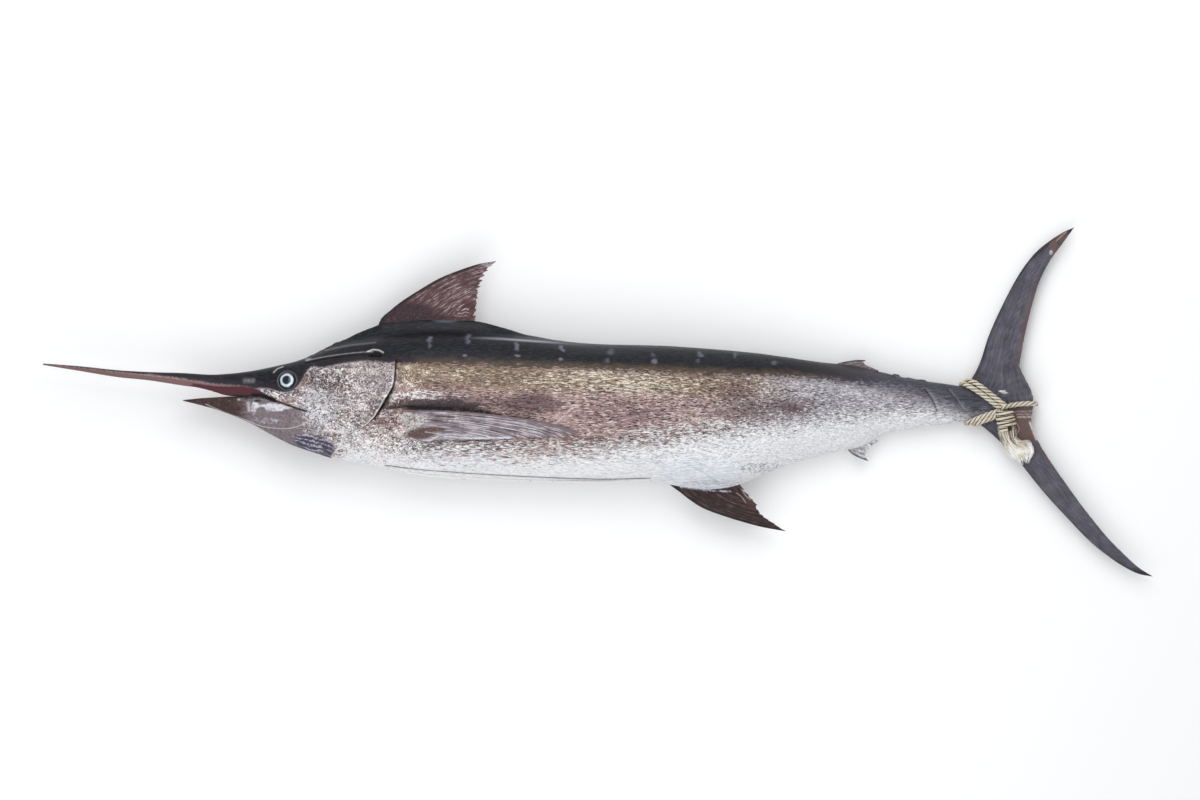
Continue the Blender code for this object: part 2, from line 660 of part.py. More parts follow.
def body_stations():
    """Every station at which the body from bill to tail stock has a ring."""
    head = [0.428, 0.454, 0.482, 0.510, 0.538, 0.556, 0.575, 0.595, 0.612, 0.623]
    head += [0.6245, 0.645, 0.668, 0.692, 0.717, 0.745, 0.773]
    head[0] += GAP / 2
    head[-1] -= GAP / 2
    return {
        "head": head,
        "trunk_front": spaced(HEAD_END, TRUNK_ENDS[0], 0.036),
        "trunk_middle": spaced(TRUNK_ENDS[0], TRUNK_ENDS[1], 0.047),
        "trunk_rear": spaced(TRUNK_ENDS[1], TRUNK_ENDS[2], 0.042),
        "tail_stock": spaced(TRUNK_ENDS[2], STOCK_END, 0.029),
    }


def jaw_stations():
    """The stations of the lower jaw's rings, close together at its tip."""
    stations = [JAW_TIP + step for step in (0.0, 0.006, 0.018, 0.036, 0.058, 0.082, 0.108, 0.136)]
    stations += [0.492, 0.520, 0.545, 0.570, 0.597, MOUTH_CORNER - GAP]
    return stations


def build_body():
    """Head, trunk and tail stock, and the two cutters that stand for them."""
    everything = []
    for name, stations in body_stations().items():
        rings = [upper_ring(station, UPPER_MARKS, LOWER_MARKS) for station in stations]
        everything += rings
        add_object(name, tube(rings))
    guard = swollen("body_guard", tube(everything))
    rings = [lower_ring(station, JAW_MARKS) for station in jaw_stations()]
    add_object("lower_jaw", tube(rings))
    jaw_guard = swollen("jaw_guard", tube(rings))
    return guard, jaw_guard


def build_bill():
    """The spear: round at its tip, flat below where the lower jaw closes on it."""
    steps = (0.0, 0.012, 0.040, 0.087, 0.130, 0.172, 0.212, 0.251, 0.290, 0.329, 0.362, 0.395, 0.428)
    stations = list(steps[:-1]) + [BILL_ROOT - GAP / 2]
    rings = [upper_ring(station, BILL_MARKS, BILL_MARKS) for station in stations]
    add_object("bill", tube(rings), material=BILL_SKIN)


def eye_frame(hand):
    """Centre and outward direction of an eye."""
    angle = angle_at(EYE_STATION, EYE_HEIGHT)
    angle = angle if hand == LEFT else 180 - angle
    surface = on_skin(EYE_STATION, angle)
    out = (on_skin(EYE_STATION, angle, 0.002) - surface).normalized()
    return surface - out * EYE_SUNK, out


def ball(centre, out, radius, depth, segments, rings):
    """A flattened ball as a bmesh, its short axis along a direction."""
    shell = bmesh.new()
    bmesh.ops.create_uvsphere(shell, u_segments=segments, v_segments=rings, radius=1.0)
    turned = out.to_track_quat("Z", "Y")
    for corner in shell.verts:
        x, y, z = corner.co
        corner.co = centre + turned @ Vector((x * radius, y * radius, z * depth))
    return shell


def build_eyes():
    """The eyes, and their sockets and the nostrils cut into the head."""
    head = bpy.data.objects["head"]
    for hand, name in ((LEFT, "eye_left"), (RIGHT, "eye_right")):
        centre, out = eye_frame(hand)
        globe = ball(centre, out, EYE_RADIUS, EYE_DEPTH, segments=16, rings=8)
        add_object(name, globe, material=EYE_GLASS)
        room = 2 * GUARD
        shell = ball(centre, out, EYE_RADIUS + room, EYE_DEPTH + room, segments=16, rings=8)
        cut_clear(head, add_object(name + "_socket", shell, "cutters"))
        for k, (station, height) in enumerate(NOSTRILS):
            angle = angle_at(station, height)
            angle = angle if hand == LEFT else 180 - angle
            pit = on_skin(station, angle)
            out = (on_skin(station, angle, 0.002) - pit).normalized()
            shell = ball(pit, out, NOSTRIL_RADIUS, NOSTRIL_DEPTH, segments=8, rings=6)
            cut_clear(head, add_object(f"{name}_nostril_{k}", shell, "cutters"))


def build_gill_cover(name, hand, guard):
    """The bony plate over the gills, thickest along its free edge."""
    rows, columns = 12, 7
    outer, inner = [], []
    for i in range(rows + 1):
        height = between((COVER_TOP, COVER_FOOT), i / rows)
        front, rear = through(COVER_FRONT, height), through(COVER_REAR, height)
        ends = ease(i / rows, 0.0, 0.15) * (1 - ease(i / rows, 0.85, 1.0))
        for grid in (outer, inner):
            grid.append([])
        for j in range(columns + 1):
            station = between((front, rear), j / columns)
            angle = angle_at(station, height)
            angle = angle if hand == LEFT else 180 - angle
            lift = COVER_THICKNESS + COVER_EDGE_THICKENING * (j / columns) ** 2 * ends
            outer[-1].append(on_skin(station, angle, lift))
            inner[-1].append(on_skin(station, angle, -COVER_BEDDING))
    cut_clear(add_object(name, sheet(outer, inner)), guard)


def build_throat_flap(name, hand, guard, jaw_guard):
    """The membrane under the gills, folded over the slender rays that spread it."""
    rows, columns = 5, 2 * THROAT_RAYS
    outer, inner = [], []
    for i in range(rows + 1):
        share = i / rows
        for grid in (outer, inner):
            grid.append([])
        for j in range(columns + 1):
            spread = j / columns
            ends = (between(THROAT_FRONT, spread), between(THROAT_REAR, spread))
            station = between(ends, share)
            top = angle_at(station, between(THROAT_UPPER_EDGE, share))
            angle = between((top, THROAT_LOW_ANGLE), spread)
            angle = angle if hand == LEFT else 180 - angle
            ridge = THROAT_RAY_HEIGHT * (j % 2) * ease(share, 0.0, 0.2)
            outer[-1].append(on_skin(station, angle, between(THROAT_THICKNESS, share) + ridge))
            inner[-1].append(on_skin(station, angle, -THROAT_BEDDING))
    flap = add_object(name, sheet(outer, inner), material=DARK_SKIN)
    cut_clear(flap, guard, jaw_guard)


def fin_grids(fin, rays, rows, root_thickness, tip_thickness, notch, place):
    """The two faces of a fin, with its rays as ridges and its membrane notched between their ends."""
    chance = random.Random(rays * 100 + rows)
    faces = ([], [])
    columns = 2 * rays + 1
    reach = []
    for j in range(columns):
        back = j / (columns - 1)
        torn = notch * ease(back, 0.05, 0.25) * chance.uniform(0.5, 1.3)
        reach.append(1.0 if j % 2 or j in (0, columns - 1) else 1.0 - torn)
    for i in range(rows + 1):
        for face in faces:
            face.append([])
        for j in range(columns):
            back = j / (columns - 1)
            out = reach[j] * i / rows
            station, height = fin.point(out, back)
            thickness = between((root_thickness, tip_thickness), out ** 0.7)
            thickness *= 0.45 + 0.55 * ease(back, 0.0, 0.10)
            thickness *= 1 - 0.55 * ease(back, 0.15, 1.0)
            thickness *= 1.0 if j % 2 else 0.72
            for face, hand in zip(faces, (LEFT, RIGHT)):
                face[-1].append(place(station, height, hand * thickness / 2, out, back))
    return faces


def on_middle_plane(station, height, side, out, back):
    """Where a fin of the back, belly or tail lies."""
    return lay(station, height, side)


def flank_side(station, height):
    """How far out the left flank is at a height."""
    return flank(station, angle_at(station, height))[1]


def left_pectoral_place(station, height, side, out, back):
    """The left pectoral fin lies back along the flank, its front edge a little proud of it."""
    sunk = PECTORAL_ROOT_DEPTH * (1 - ease(out, 0.0, 0.10))
    curl = (1 - ease(back, 0.0, 0.5)) * math.sin(math.pi * min(1.0, out * 1.1))
    proud = PECTORAL_PROUD + PECTORAL_EDGE_PROUD * curl
    middle = flank_side(station, height) - sunk + proud
    return lay(station, height, middle + side)


def right_pectoral_place(station, height, side, out, back):
    """The right pectoral fin is pinned flat between the flank and the floor."""
    hinge_station, hinge_height = PECTORAL_HINGE
    x, y = station - hinge_station, height - hinge_height
    across, along_fin = math.sin(RIGHT_PECTORAL_DROOP), math.cos(RIGHT_PECTORAL_DROOP)
    dropped_station = hinge_station + x * along_fin + y * across
    dropped_height = hinge_height + y * along_fin - x * across
    laid = lay(dropped_station, dropped_height, 0.0)
    flattened = max(-RIGHT_PECTORAL_LEVEL, min(RIGHT_PECTORAL_LEVEL, side * 0.75))
    rise = RIGHT_PECTORAL_RISE * (1 - ease(out, 0.0, 0.09))
    laid.z = RIGHT_PECTORAL_LEVEL + rise + flattened
    return laid


def build_fins(guard):
    """The median fins, the two tail lobes and the pectoral fins, each trimmed to the body."""
    middle = on_middle_plane
    # Name, shape, rays, rows, thickness at the root and tip, notch, where it lies, and finish.
    fins = (
        ("dorsal_fin", DORSAL, 12, 6, 0.0066, 0.0016, 0.07, middle, FIN_MEMBRANE),
        ("anal_fin", ANAL, 9, 5, 0.0070, 0.0016, 0.06, middle, FIN_MEMBRANE),
        ("second_dorsal_fin", SECOND_DORSAL, 6, 4, 0.0050, 0.0014, 0.10, middle, DARK_SKIN),
        ("second_anal_fin", SECOND_ANAL, 6, 4, 0.0050, 0.0014, 0.10, middle, BELLY_SKIN),
        ("caudal_lobe_upper", UPPER_LOBE, 9, 9, 0.0180, 0.0026, 0.02, middle, TAIL_MEMBRANE),
        ("caudal_lobe_lower", LOWER_LOBE, 9, 9, 0.0180, 0.0026, 0.02, middle, TAIL_MEMBRANE),
        ("pectoral_fin_left", PECTORAL, 8, 7, 0.0110, 0.0022, 0.03, left_pectoral_place, DARK_SKIN),
        ("pectoral_fin_right", PECTORAL, 8, 7, 0.0080, 0.0022, 0.03, right_pectoral_place, DARK_SKIN),
    )
    guards = {}
    for name, shape, rays, rows, root, tip, notch, place, material in fins:
        left, right = fin_grids(shape, rays, rows, root, tip, notch, place)
        if name.startswith("caudal"):
            guards[name] = swollen(name + "_guard", sheet(left, right))
        cut_clear(add_object(name, sheet(left, right), material=material), guard)
    return guards


def build_pelvic_fin(name, hand, guard):
    """A pelvic fin: a long thin blade that lies folded along the belly."""
    points, radii = [], []
    count = 14
    for k in range(count + 1):
        share = k / count
        station = PELVIC_START + PELVIC_LENGTH * share
        off_middle = between(PELVIC_OFF_MIDDLE, share) / through(HALF_WIDTH, station)
        angle = -math.degrees(math.acos(min(1.0, off_middle)))
        angle = angle if hand == LEFT else 180 - angle
        sunk = PELVIC_ROOT_DEPTH * (1 - ease(share, 0.0, 0.06))
        points.append(on_skin(station, angle, PELVIC_LIFT - sunk))
        radii.append(between(PELVIC_RADIUS, share))
    cut_clear(add_object(name, round_tube(points, radii, sides=6), material=BELLY_SKIN), guard)


def rope_tube(name, route, closed, samples):
    """A rope along its route, as a mesh made from a bevelled curve."""
    course = route + route[:1] if closed else route
    points = [lay(*along(course, k / samples)) for k in range(samples if closed else samples + 1)]
    line = bpy.data.curves.new(name, "CURVE")
    line.dimensions = "3D"
    line.bevel_depth = ROPE_RADIUS
    line.bevel_resolution = 2
    line.use_fill_caps = not closed
    strand = line.splines.new("POLY")
    strand.points.add(len(points) - 1)
    for corner, point in zip(strand.points, points):
        corner.co = (*point, 1.0)
    strand.use_cyclic_u = closed
    guide = bpy.data.objects.new(name, line)
    bpy.data.collections["cutters"].objects.link(guide)
    graph = bpy.context.evaluated_depsgraph_get()
    graph.update()
    mesh = bpy.data.meshes.new_from_object(guide.evaluated_get(graph), depsgraph=graph)
    shell = bmesh.new()
    shell.from_mesh(mesh)
    bmesh.ops.remove_doubles(shell, verts=shell.verts, dist=1e-5)
    bpy.data.objects.remove(guide, do_unlink=True)
    return shell


def knot_course():
    """The turns of the hitch, wound down its own standing part."""
    top, foot = lay(*KNOT_TOP), lay(*KNOT_FOOT)
    axis = (foot - top).normalized()
    across = axis.cross(Vector((0.0, 0.0, 1.0))).normalized()
    over = across.cross(axis).normalized()
    steps = round(KNOT_TURNS * 8)
    points = []
    for k in range(steps + 1):
        share = k / steps
        turn = math.tau * KNOT_TURNS * share
        swing = across * math.cos(turn) * KNOT_HALF_WIDTH + over * math.sin(turn) * KNOT_HALF_HEIGHT
        points.append(top.lerp(foot, share) + swing)
    return points, top, foot


def build_rope(guard, lobe_guards):
    """The lashing round the tail, its hitch and its frayed end."""
    loops = [
        rope_tube("front_loop", FRONT_LOOP, True, 28),
        rope_tube("rear_loop", REAR_LOOP, True, 28),
        rope_tube("fork_turn", FORK_TURN, False, 18),
    ]
    points, top, foot = knot_course()
    core = [top + (top - foot) * 0.12, top, foot, foot + (foot - top) * 0.10]
    hitch = [
        round_tube(core, KNOT_CORE_RADII, sides=10),
        round_tube(points, [ROPE_RADIUS * 0.95] * len(points), sides=7),
    ]
    lashing = fused("rope_lashing", loops + hitch, ROPE_FIBRE)
    cut_clear(lashing, guard, *lobe_guards.values())
    build_frayed_end(guard, lobe_guards)


def build_frayed_end(guard, lobe_guards):
    """The rope's unlaid end: tapered locks of fibre that spread over the lower tail lobe."""
    first, last = (Vector(root) for root in FRAY_ROOTS)
    step_up = Vector((-0.001, 0.004, 0.001))
    stump = [lay(*first.lerp(last, 0.5) + step_up * k) for k in (3, 0, -5, -9)]
    shells = [round_tube(stump, FRAY_STUMP_RADII, sides=8)]
    for k, tip in enumerate(FRAY_TIPS):
        root = first.lerp(last, k / (len(FRAY_TIPS) - 1))
        end = Vector(tip)
        bow = Vector((0.006 * math.sin(1.7 * k), 0.004 * math.cos(2.3 * k), 0.003))
        points, radii = [], []
        for step in range(6):
            share = step / 5
            middle = root.lerp(end, share) + bow * math.sin(math.pi * share)
            points.append(lay(*middle))
            radii.append(between(FRAY_LOCK_RADIUS, share) * (1 - 0.75 * ease(share, 0.7, 1.0)))
        shells.append(round_tube(points, radii, sides=6))
    tassel = fused("rope_frayed_end", shells, ROPE_FIBRE)
    lashing = bpy.data.objects["rope_lashing"]
    shell = bmesh.new()
    shell.from_mesh(lashing.data)
    lashing_guard = swollen("lashing_guard", shell)
    cut_clear(tassel, guard, *lobe_guards.values(), lashing_guard)


def shade_round_pieces():
    """Smooth shading, with the sharp edges kept."""
    for thing in bpy.data.collections["blue_marlin"].objects:
        thing.data.shade_smooth()
        thing.data.set_sharp_from_angle(angle=math.radians(40))


def main():
    """Builds every node of the fish and of its lashing."""
    clear_scene()
    guard, jaw_guard = build_body()
    build_bill()
    build_eyes()
    build_gill_cover("gill_cover_left", LEFT, guard)
    build_gill_cover("gill_cover_right", RIGHT, guard)
    build_throat_flap("throat_flap_left", LEFT, guard, jaw_guard)
    build_throat_flap("throat_flap_right", RIGHT, guard, jaw_guard)
    lobe_guards = build_fins(guard)
    build_pelvic_fin("pelvic_fin_left", LEFT, guard)
    build_pelvic_fin("pelvic_fin_right", RIGHT, guard)
    build_rope(guard, lobe_guards)
    shade_round_pieces()


main()
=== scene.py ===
"""The looks of the blue marlin: its hide, fins, eyes and the rope round its tail.

Metres, +Z up. +X runs from bill to tail and +Y from belly to back, so the fish's left side faces up.
A station is a distance behind the bill's tip, a height is measured from just above the fork of the
tail, and a side is a distance from the fish's middle plane, positive on its left.
"""
import logging
import math
from dataclasses import dataclass
from enum import Enum
from itertools import product
from typing import Any, Callable

import bmesh
import bpy
import numpy as np
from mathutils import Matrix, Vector


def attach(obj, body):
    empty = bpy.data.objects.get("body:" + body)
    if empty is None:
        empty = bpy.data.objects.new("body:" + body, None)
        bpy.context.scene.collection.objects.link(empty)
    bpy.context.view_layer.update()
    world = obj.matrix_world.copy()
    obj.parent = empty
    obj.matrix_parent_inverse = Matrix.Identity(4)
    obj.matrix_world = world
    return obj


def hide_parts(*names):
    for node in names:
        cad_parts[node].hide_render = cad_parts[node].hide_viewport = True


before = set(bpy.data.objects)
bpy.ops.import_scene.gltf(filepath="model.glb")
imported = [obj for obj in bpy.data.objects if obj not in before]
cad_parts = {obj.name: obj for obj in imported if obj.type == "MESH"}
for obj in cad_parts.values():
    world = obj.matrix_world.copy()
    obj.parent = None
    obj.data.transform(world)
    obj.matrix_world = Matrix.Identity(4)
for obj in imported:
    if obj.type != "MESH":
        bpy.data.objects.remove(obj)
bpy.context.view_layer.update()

ROOT = "root"

Array = np.ndarray
Points = tuple[tuple[float, ...], ...]
Colour = tuple[float, float, float]

log = logging.getLogger("blue_marlin")


def ease(value: Array | float, start: float, end: float) -> Array:
    """0 before start, 1 after end, and smooth between them."""
    t = np.clip((np.asarray(value, float) - start) / (end - start), 0.0, 1.0)
    return t * t * (3.0 - 2.0 * t)


def hump(value: Array, middle: float | Array, reach: float) -> Array:
    """1 at the middle, and next to nothing two reaches away from it."""
    return np.exp(-(((value - middle) / reach) ** 2))


@dataclass(frozen=True)
class Course:
    """A smooth curve through (place, value) landmarks, level beyond its ends."""

    points: Points

    def at(self, place: Array | float) -> Array:
        """The curve's value.

        Args:
            place: Where along the curve, in the landmarks' own measure.

        Returns:
            The value at each place.
        """
        knots = np.array([point[0] for point in self.points])
        values = np.array([point[1] for point in self.points])
        before = np.maximum(np.arange(len(knots)) - 1, 0)
        after = np.minimum(np.arange(len(knots)) + 1, len(knots) - 1)
        slopes = (values[after] - values[before]) / (knots[after] - knots[before])
        where = np.clip(np.asarray(place, float), knots[0], knots[-1])
        k = np.clip(np.searchsorted(knots, where, side="right") - 1, 0, len(knots) - 2)
        width = knots[k + 1] - knots[k]
        t = (where - knots[k]) / width
        return (
            values[k] * (1 + 2 * t) * (1 - t) ** 2
            + values[k + 1] * t * t * (3 - 2 * t)
            + width * (slopes[k] * t * (1 - t) ** 2 + slopes[k + 1] * t * t * (t - 1))
        )


def travelled(path: Array) -> Array:
    """How far along a path each of its points is."""
    return np.concatenate([[0.0], np.cumsum(np.linalg.norm(np.diff(path, axis=0), axis=1))])


def along(points: Points, share: Array | float) -> Array:
    """Points on the smooth line through these points.

    Args:
        points: The line's landmarks, in any number of dimensions.
        share: How far along the line, from 0 to 1.

    Returns:
        One point for each share.
    """
    marks = np.array(points, float)
    passed = travelled(marks)
    at = np.asarray(share, float) * passed[-1]
    axes = [Course(tuple(zip(passed, values))).at(at) for values in marks.T]
    return np.stack(axes, axis=-1)


class Lattice:
    """Smooth seeded noise, for forms that are modelled and not only painted."""

    SIZE = 32

    def __init__(self, seed: int) -> None:
        """Draws the noise's table from a seed."""
        self.table = np.random.default_rng(seed).random((self.SIZE, self.SIZE, self.SIZE))

    def at(self, points: Array, pitch: tuple[float, float, float]) -> Array:
        """The noise at points, from -1 to 1.

        Args:
            points: Places, with their three coordinates last.
            pitch: The size of a lump along each axis.

        Returns:
            One value for each point.
        """
        cell = points / np.array(pitch)
        low = np.floor(cell).astype(int)
        t = cell - low
        t = t * t * (3.0 - 2.0 * t)
        total = np.zeros(points.shape[:-1])
        for corner in product((0, 1), repeat=3):
            weight = np.prod(np.where(corner, t, 1.0 - t), axis=-1)
            index = (low + corner) % self.SIZE
            total += weight * self.table[index[..., 0], index[..., 1], index[..., 2]]
        return 2.0 * total - 1.0


@dataclass(frozen=True)
class Trace:
    """A line that runs over the flank, such as a fold, a rim or a crease."""

    points: Points
    width: float
    strength: float = 1.0

    def cover(self, station: Array, height: Array) -> Array:
        """How strongly the line is felt.

        Args:
            station: Stations of the places asked about.
            height: Their heights.

        Returns:
            The strength on the line, falling to nothing a few widths off it.
        """
        margin = 3.0 * self.width
        line = along(self.points, np.linspace(0.0, 1.0, 8 * len(self.points)))
        low, high = line.min(axis=0) - margin, line.max(axis=0) + margin
        near = (station > low[0]) & (station < high[0]) & (height > low[1]) & (height < high[1])
        spot = np.stack([station[near], height[near]], axis=-1)
        squared = np.full(len(spot), np.inf)
        for start, end in zip(line, line[1:]):
            step = end - start
            share = np.clip((spot - start) @ step / (step @ step), 0.0, 1.0)
            squared = np.minimum(squared, ((spot - start - share[:, None] * step) ** 2).sum(axis=1))
        felt = np.zeros(station.shape)
        felt[near] = self.strength * np.exp(-squared / self.width**2)
        return felt


@dataclass(frozen=True)
class Patch:
    """An oval patch on the flank."""

    station: float
    height: float
    length: float
    depth: float
    strength: float = 1.0

    def cover(self, station: Array, height: Array) -> Array:
        """The patch's strength at places, soft at its rim."""
        reach = np.hypot((station - self.station) / self.length, (height - self.height) / self.depth)
        return self.strength * (1.0 - ease(reach, 0.6, 1.25))


def laid_on(marks: tuple[Trace | Patch, ...], station: Array, height: Array) -> Array:
    """The sum of several lines and patches at places, from 0 to 1."""
    total = np.zeros(station.shape)
    for mark in marks:
        total += mark.cover(station, height)
    return np.clip(total, 0.0, 1.0)


@dataclass(frozen=True)
class BodyForm:
    """The bare shape of the body, in the figures that the solids are made from."""

    overall_length: float = 2.611
    softness: float = 0.004
    mouth_corner: float = 0.623
    jaw_tip: float = 0.329
    head_end: float = 0.773
    stock_end: float = 2.268
    sheath_half_width: float = 0.011
    keel_angle: float = 18.0
    keel_rise: float = 0.0055
    lip_rise: float = 0.0018
    bed_depth: float = 0.0072
    back: Course = Course((
        (0.0, 0.0907), (0.087, 0.0841), (0.172, 0.0752), (0.251, 0.0705), (0.329, 0.0682),
        (0.392, 0.0645), (0.428, 0.0658), (0.482, 0.0717), (0.538, 0.0823), (0.604, 0.0987),
        (0.674, 0.1257), (0.745, 0.1457), (0.815, 0.1575), (0.933, 0.1645), (1.121, 0.1539),
        (1.274, 0.1386), (1.485, 0.1316), (1.697, 0.1128), (1.896, 0.0811), (2.049, 0.0529),
        (2.155, 0.0376), (2.225, 0.025), (2.268, 0.009),
    ))
    belly: Course = Course((
        (0.329, 0.0026), (0.369, -0.0071), (0.425, -0.0235), (0.482, -0.047), (0.538, -0.0776),
        (0.595, -0.1058), (0.674, -0.1281), (0.745, -0.1445), (0.886, -0.1716), (1.027, -0.1814),
        (1.215, -0.1864), (1.403, -0.1873), (1.544, -0.1927), (1.614, -0.1915), (1.661, -0.1821),
        (1.708, -0.1633), (1.779, -0.141), (1.896, -0.1081), (1.979, -0.074), (2.049, -0.0635),
        (2.155, -0.047), (2.225, -0.0345), (2.268, -0.0185),
    ))
    level: Course = Course((
        (0.0, 0.0888), (0.087, 0.0783), (0.172, 0.0658), (0.251, 0.0559), (0.329, 0.0399),
        (0.397, 0.027), (0.454, 0.0212), (0.573, 0.0094), (0.71, 0.0024), (0.815, 0.0),
        (0.956, -0.0047), (1.215, -0.0141), (1.591, -0.0188), (1.802, -0.0071), (1.979, -0.0012),
        (2.12, -0.0035), (2.23, -0.0047), (2.268, -0.0049),
    ))
    half_width: Course = Course((
        (0.0, 0.0015), (0.04, 0.004), (0.087, 0.0063), (0.172, 0.0095), (0.251, 0.0125),
        (0.329, 0.017), (0.392, 0.02), (0.454, 0.026), (0.51, 0.034), (0.573, 0.046),
        (0.623, 0.056), (0.745, 0.08), (0.815, 0.091), (0.909, 0.101), (1.027, 0.107),
        (1.215, 0.11), (1.403, 0.107), (1.544, 0.098), (1.685, 0.084), (1.802, 0.068),
        (1.896, 0.055), (1.979, 0.043), (2.049, 0.034), (2.12, 0.0265), (2.167, 0.021),
        (2.23, 0.013), (2.268, 0.0068),
    ))
    back_fullness: Course = Course((
        (0.0, 2.0), (0.392, 2.0), (0.573, 2.4), (0.815, 2.2), (1.215, 2.2), (1.9, 2.0), (2.23, 2.2),
    ))
    belly_fullness: Course = Course((
        (0.329, 2.0), (0.573, 1.8), (0.815, 2.0), (1.215, 2.1), (1.9, 1.9), (2.23, 2.2),
    ))
    spine: Course = Course((
        (0.0, 0.088), (0.329, 0.091), (0.604, 0.095), (0.815, 0.0985), (1.027, 0.1),
        (1.215, 0.1), (1.403, 0.098), (1.544, 0.09), (1.685, 0.077), (1.802, 0.064),
        (1.896, 0.054), (2.014, 0.046), (2.155, 0.042), (2.331, 0.04), (2.611, 0.036),
    ))
    upper_lip: Course = Course((
        (0.0, 0.0888), (0.087, 0.0783), (0.172, 0.0663), (0.251, 0.0573), (0.329, 0.0409),
        (0.369, 0.0329), (0.397, 0.0259), (0.425, 0.0172), (0.447, 0.0134), (0.51, 0.0112),
        (0.538, 0.0063), (0.566, -0.003), (0.595, -0.0132), (0.623, -0.022),
    ))
    palate: Course = Course((
        (0.0, 0.0869), (0.087, 0.0728), (0.172, 0.0588), (0.251, 0.0505), (0.329, 0.0385),
        (0.369, 0.0338), (0.425, 0.0282), (0.482, 0.0247), (0.538, 0.0164), (0.595, -0.0059),
        (0.623, -0.0164),
    ))
    lower_lip: Course = Course((
        (0.329, 0.0047), (0.369, 0.0087), (0.397, 0.0106), (0.425, 0.0122), (0.447, 0.0129),
        (0.51, 0.0107), (0.538, 0.0058), (0.566, -0.0035), (0.595, -0.0136), (0.623, -0.022),
    ))
    back_sheath: Course = Course((
        (0.642, 0.0), (0.674, 0.0059), (0.71, 0.0094), (0.745, 0.0176), (0.78, 0.0247),
        (0.804, 0.031), (0.839, 0.031), (0.933, 0.0294), (1.015, 0.029), (1.05, 0.0247),
        (1.097, 0.0141), (1.133, 0.0059), (1.168, 0.0028), (1.206, 0.0), (1.82, 0.0),
        (1.896, 0.005), (1.95, 0.005), (2.03, 0.0),
    ))
    belly_sheath: Course = Course((
        (1.45, 0.0), (1.5, 0.008), (1.56, 0.012), (1.62, 0.008), (1.66, 0.003),
        (1.7, 0.0), (1.87, 0.0), (1.92, 0.007), (1.95, 0.006), (1.99, 0.0),
    ))

    def lay(self, station: Array, height: Array, side: Array, floor: Array | float = 0.0) -> Array:
        """Places of the fish in the frame, as the fish lies.

        Args:
            station: How far behind the bill's tip.
            height: How far up in the fish's middle plane.
            side: How far from that plane, positive on the left.
            floor: The level that the flank is pressed flat on.

        Returns:
            Points, with their three coordinates last.
        """
        station, height, side = np.broadcast_arrays(station, height, side)
        over = self.spine.at(station) + side - floor
        pressed = (over + self.softness) ** 2 / (4.0 * self.softness)
        over = np.where(over >= self.softness, over, np.where(over <= -self.softness, 0.0, pressed))
        return np.stack([station - self.overall_length / 2, height, floor + over], axis=-1)

    def bed_level(self, station: Array, height: Array) -> Array:
        """How far the folded right pectoral fin holds the flank off the floor."""
        edge = -0.003 - 0.21 * (station - 0.804)
        lengthwise = ease(station, 0.76, 0.8) * (1.0 - ease(station, 1.29, 1.33))
        return self.bed_depth * ease(edge - height, -0.01, 0.004) * lengthwise

    def keel(self, station: Array, angle: Array) -> Array:
        """The two low keels on each side of the tail stock."""
        lengthwise = ease(station, 2.085, 2.14) * (1.0 - 0.7 * ease(station, 2.19, 2.23))
        off_axis = np.abs(np.abs((angle + 90.0) % 180.0 - 90.0) - self.keel_angle)
        return self.keel_rise * lengthwise * hump(off_axis, 0.0, 6.0)

    def lip_swell(self, station: Array, angle: Array) -> Array:
        """The rounded lips just above and below the line of the mouth."""
        leaning = np.abs((angle + 90.0) % 180.0 - 90.0) * np.copysign(1.0, np.sin(np.radians(angle)))
        upper = leaning - self.angle_at(station, self.upper_lip.at(station)) - 8.0
        lower = leaning - self.angle_at(station, self.lower_lip.at(station)) + 9.0
        lengthwise = ease(station, 0.36, 0.44) * (1.0 - ease(station, 0.61, 0.66))
        return self.lip_rise * lengthwise * (hump(upper, 0.0, 5.0) + hump(lower, 0.0, 5.0))

    def angle_at(self, station: Array, height: Array) -> Array:
        """The angle round the section at which the left flank reaches a height."""
        level = self.level.at(station)
        above = (height - level) / (self.back.at(station) - level)
        below = (level - height) / (level - self.belly.at(station))
        upper = np.arcsin(np.clip(above, 0.0, 1.0) ** (self.back_fullness.at(station) / 2.0))
        lower = np.arcsin(np.clip(below, 0.0, 1.0) ** (self.belly_fullness.at(station) / 2.0))
        return np.degrees(np.where(height >= level, upper, -lower))

    def flank(self, station: Array, angle: Array) -> tuple[Array, Array]:
        """The outline of a section.

        Args:
            station: Stations of the sections.
            angle: 90 degrees is the back, 0 the left side and -90 the belly.

        Returns:
            Height and side at each angle.
        """
        station, angle = np.broadcast_arrays(np.asarray(station, float), np.asarray(angle, float))
        turn = np.radians(angle)
        across, up = np.cos(turn), np.sin(turn)
        level = self.level.at(station)
        above = up >= 0.0
        reach = np.where(above, self.back.at(station) - level, level - self.belly.at(station))
        power = 2.0 / np.where(above, self.back_fullness.at(station), self.belly_fullness.at(station))
        side = np.copysign(np.abs(across) ** power, across) * self.half_width.at(station)
        height = level + np.copysign(np.abs(up) ** power, up) * reach
        side = side + np.copysign(self.keel(station, angle) + self.lip_swell(station, angle), across)
        sheath = hump(side, 0.0, self.sheath_half_width)
        rise = np.where(above, self.back_sheath.at(station), -self.belly_sheath.at(station))
        return height + sheath * rise, side

    def on_skin(self, station: Array, angle: Array) -> Array:
        """Points on the body's bare surface."""
        height, side = self.flank(station, angle)
        return self.lay(station, height, side, self.bed_level(station, height))

    def outward(self, station: Array, angle: Array) -> Array:
        """Directions that point straight out of the body's bare surface."""
        lengthwise = self.on_skin(station + 0.001, angle) - self.on_skin(station - 0.001, angle)
        girthwise = self.on_skin(station, angle + 1.0) - self.on_skin(station, angle - 1.0)
        out = np.cross(lengthwise, girthwise)
        return out / np.linalg.norm(out, axis=-1, keepdims=True)

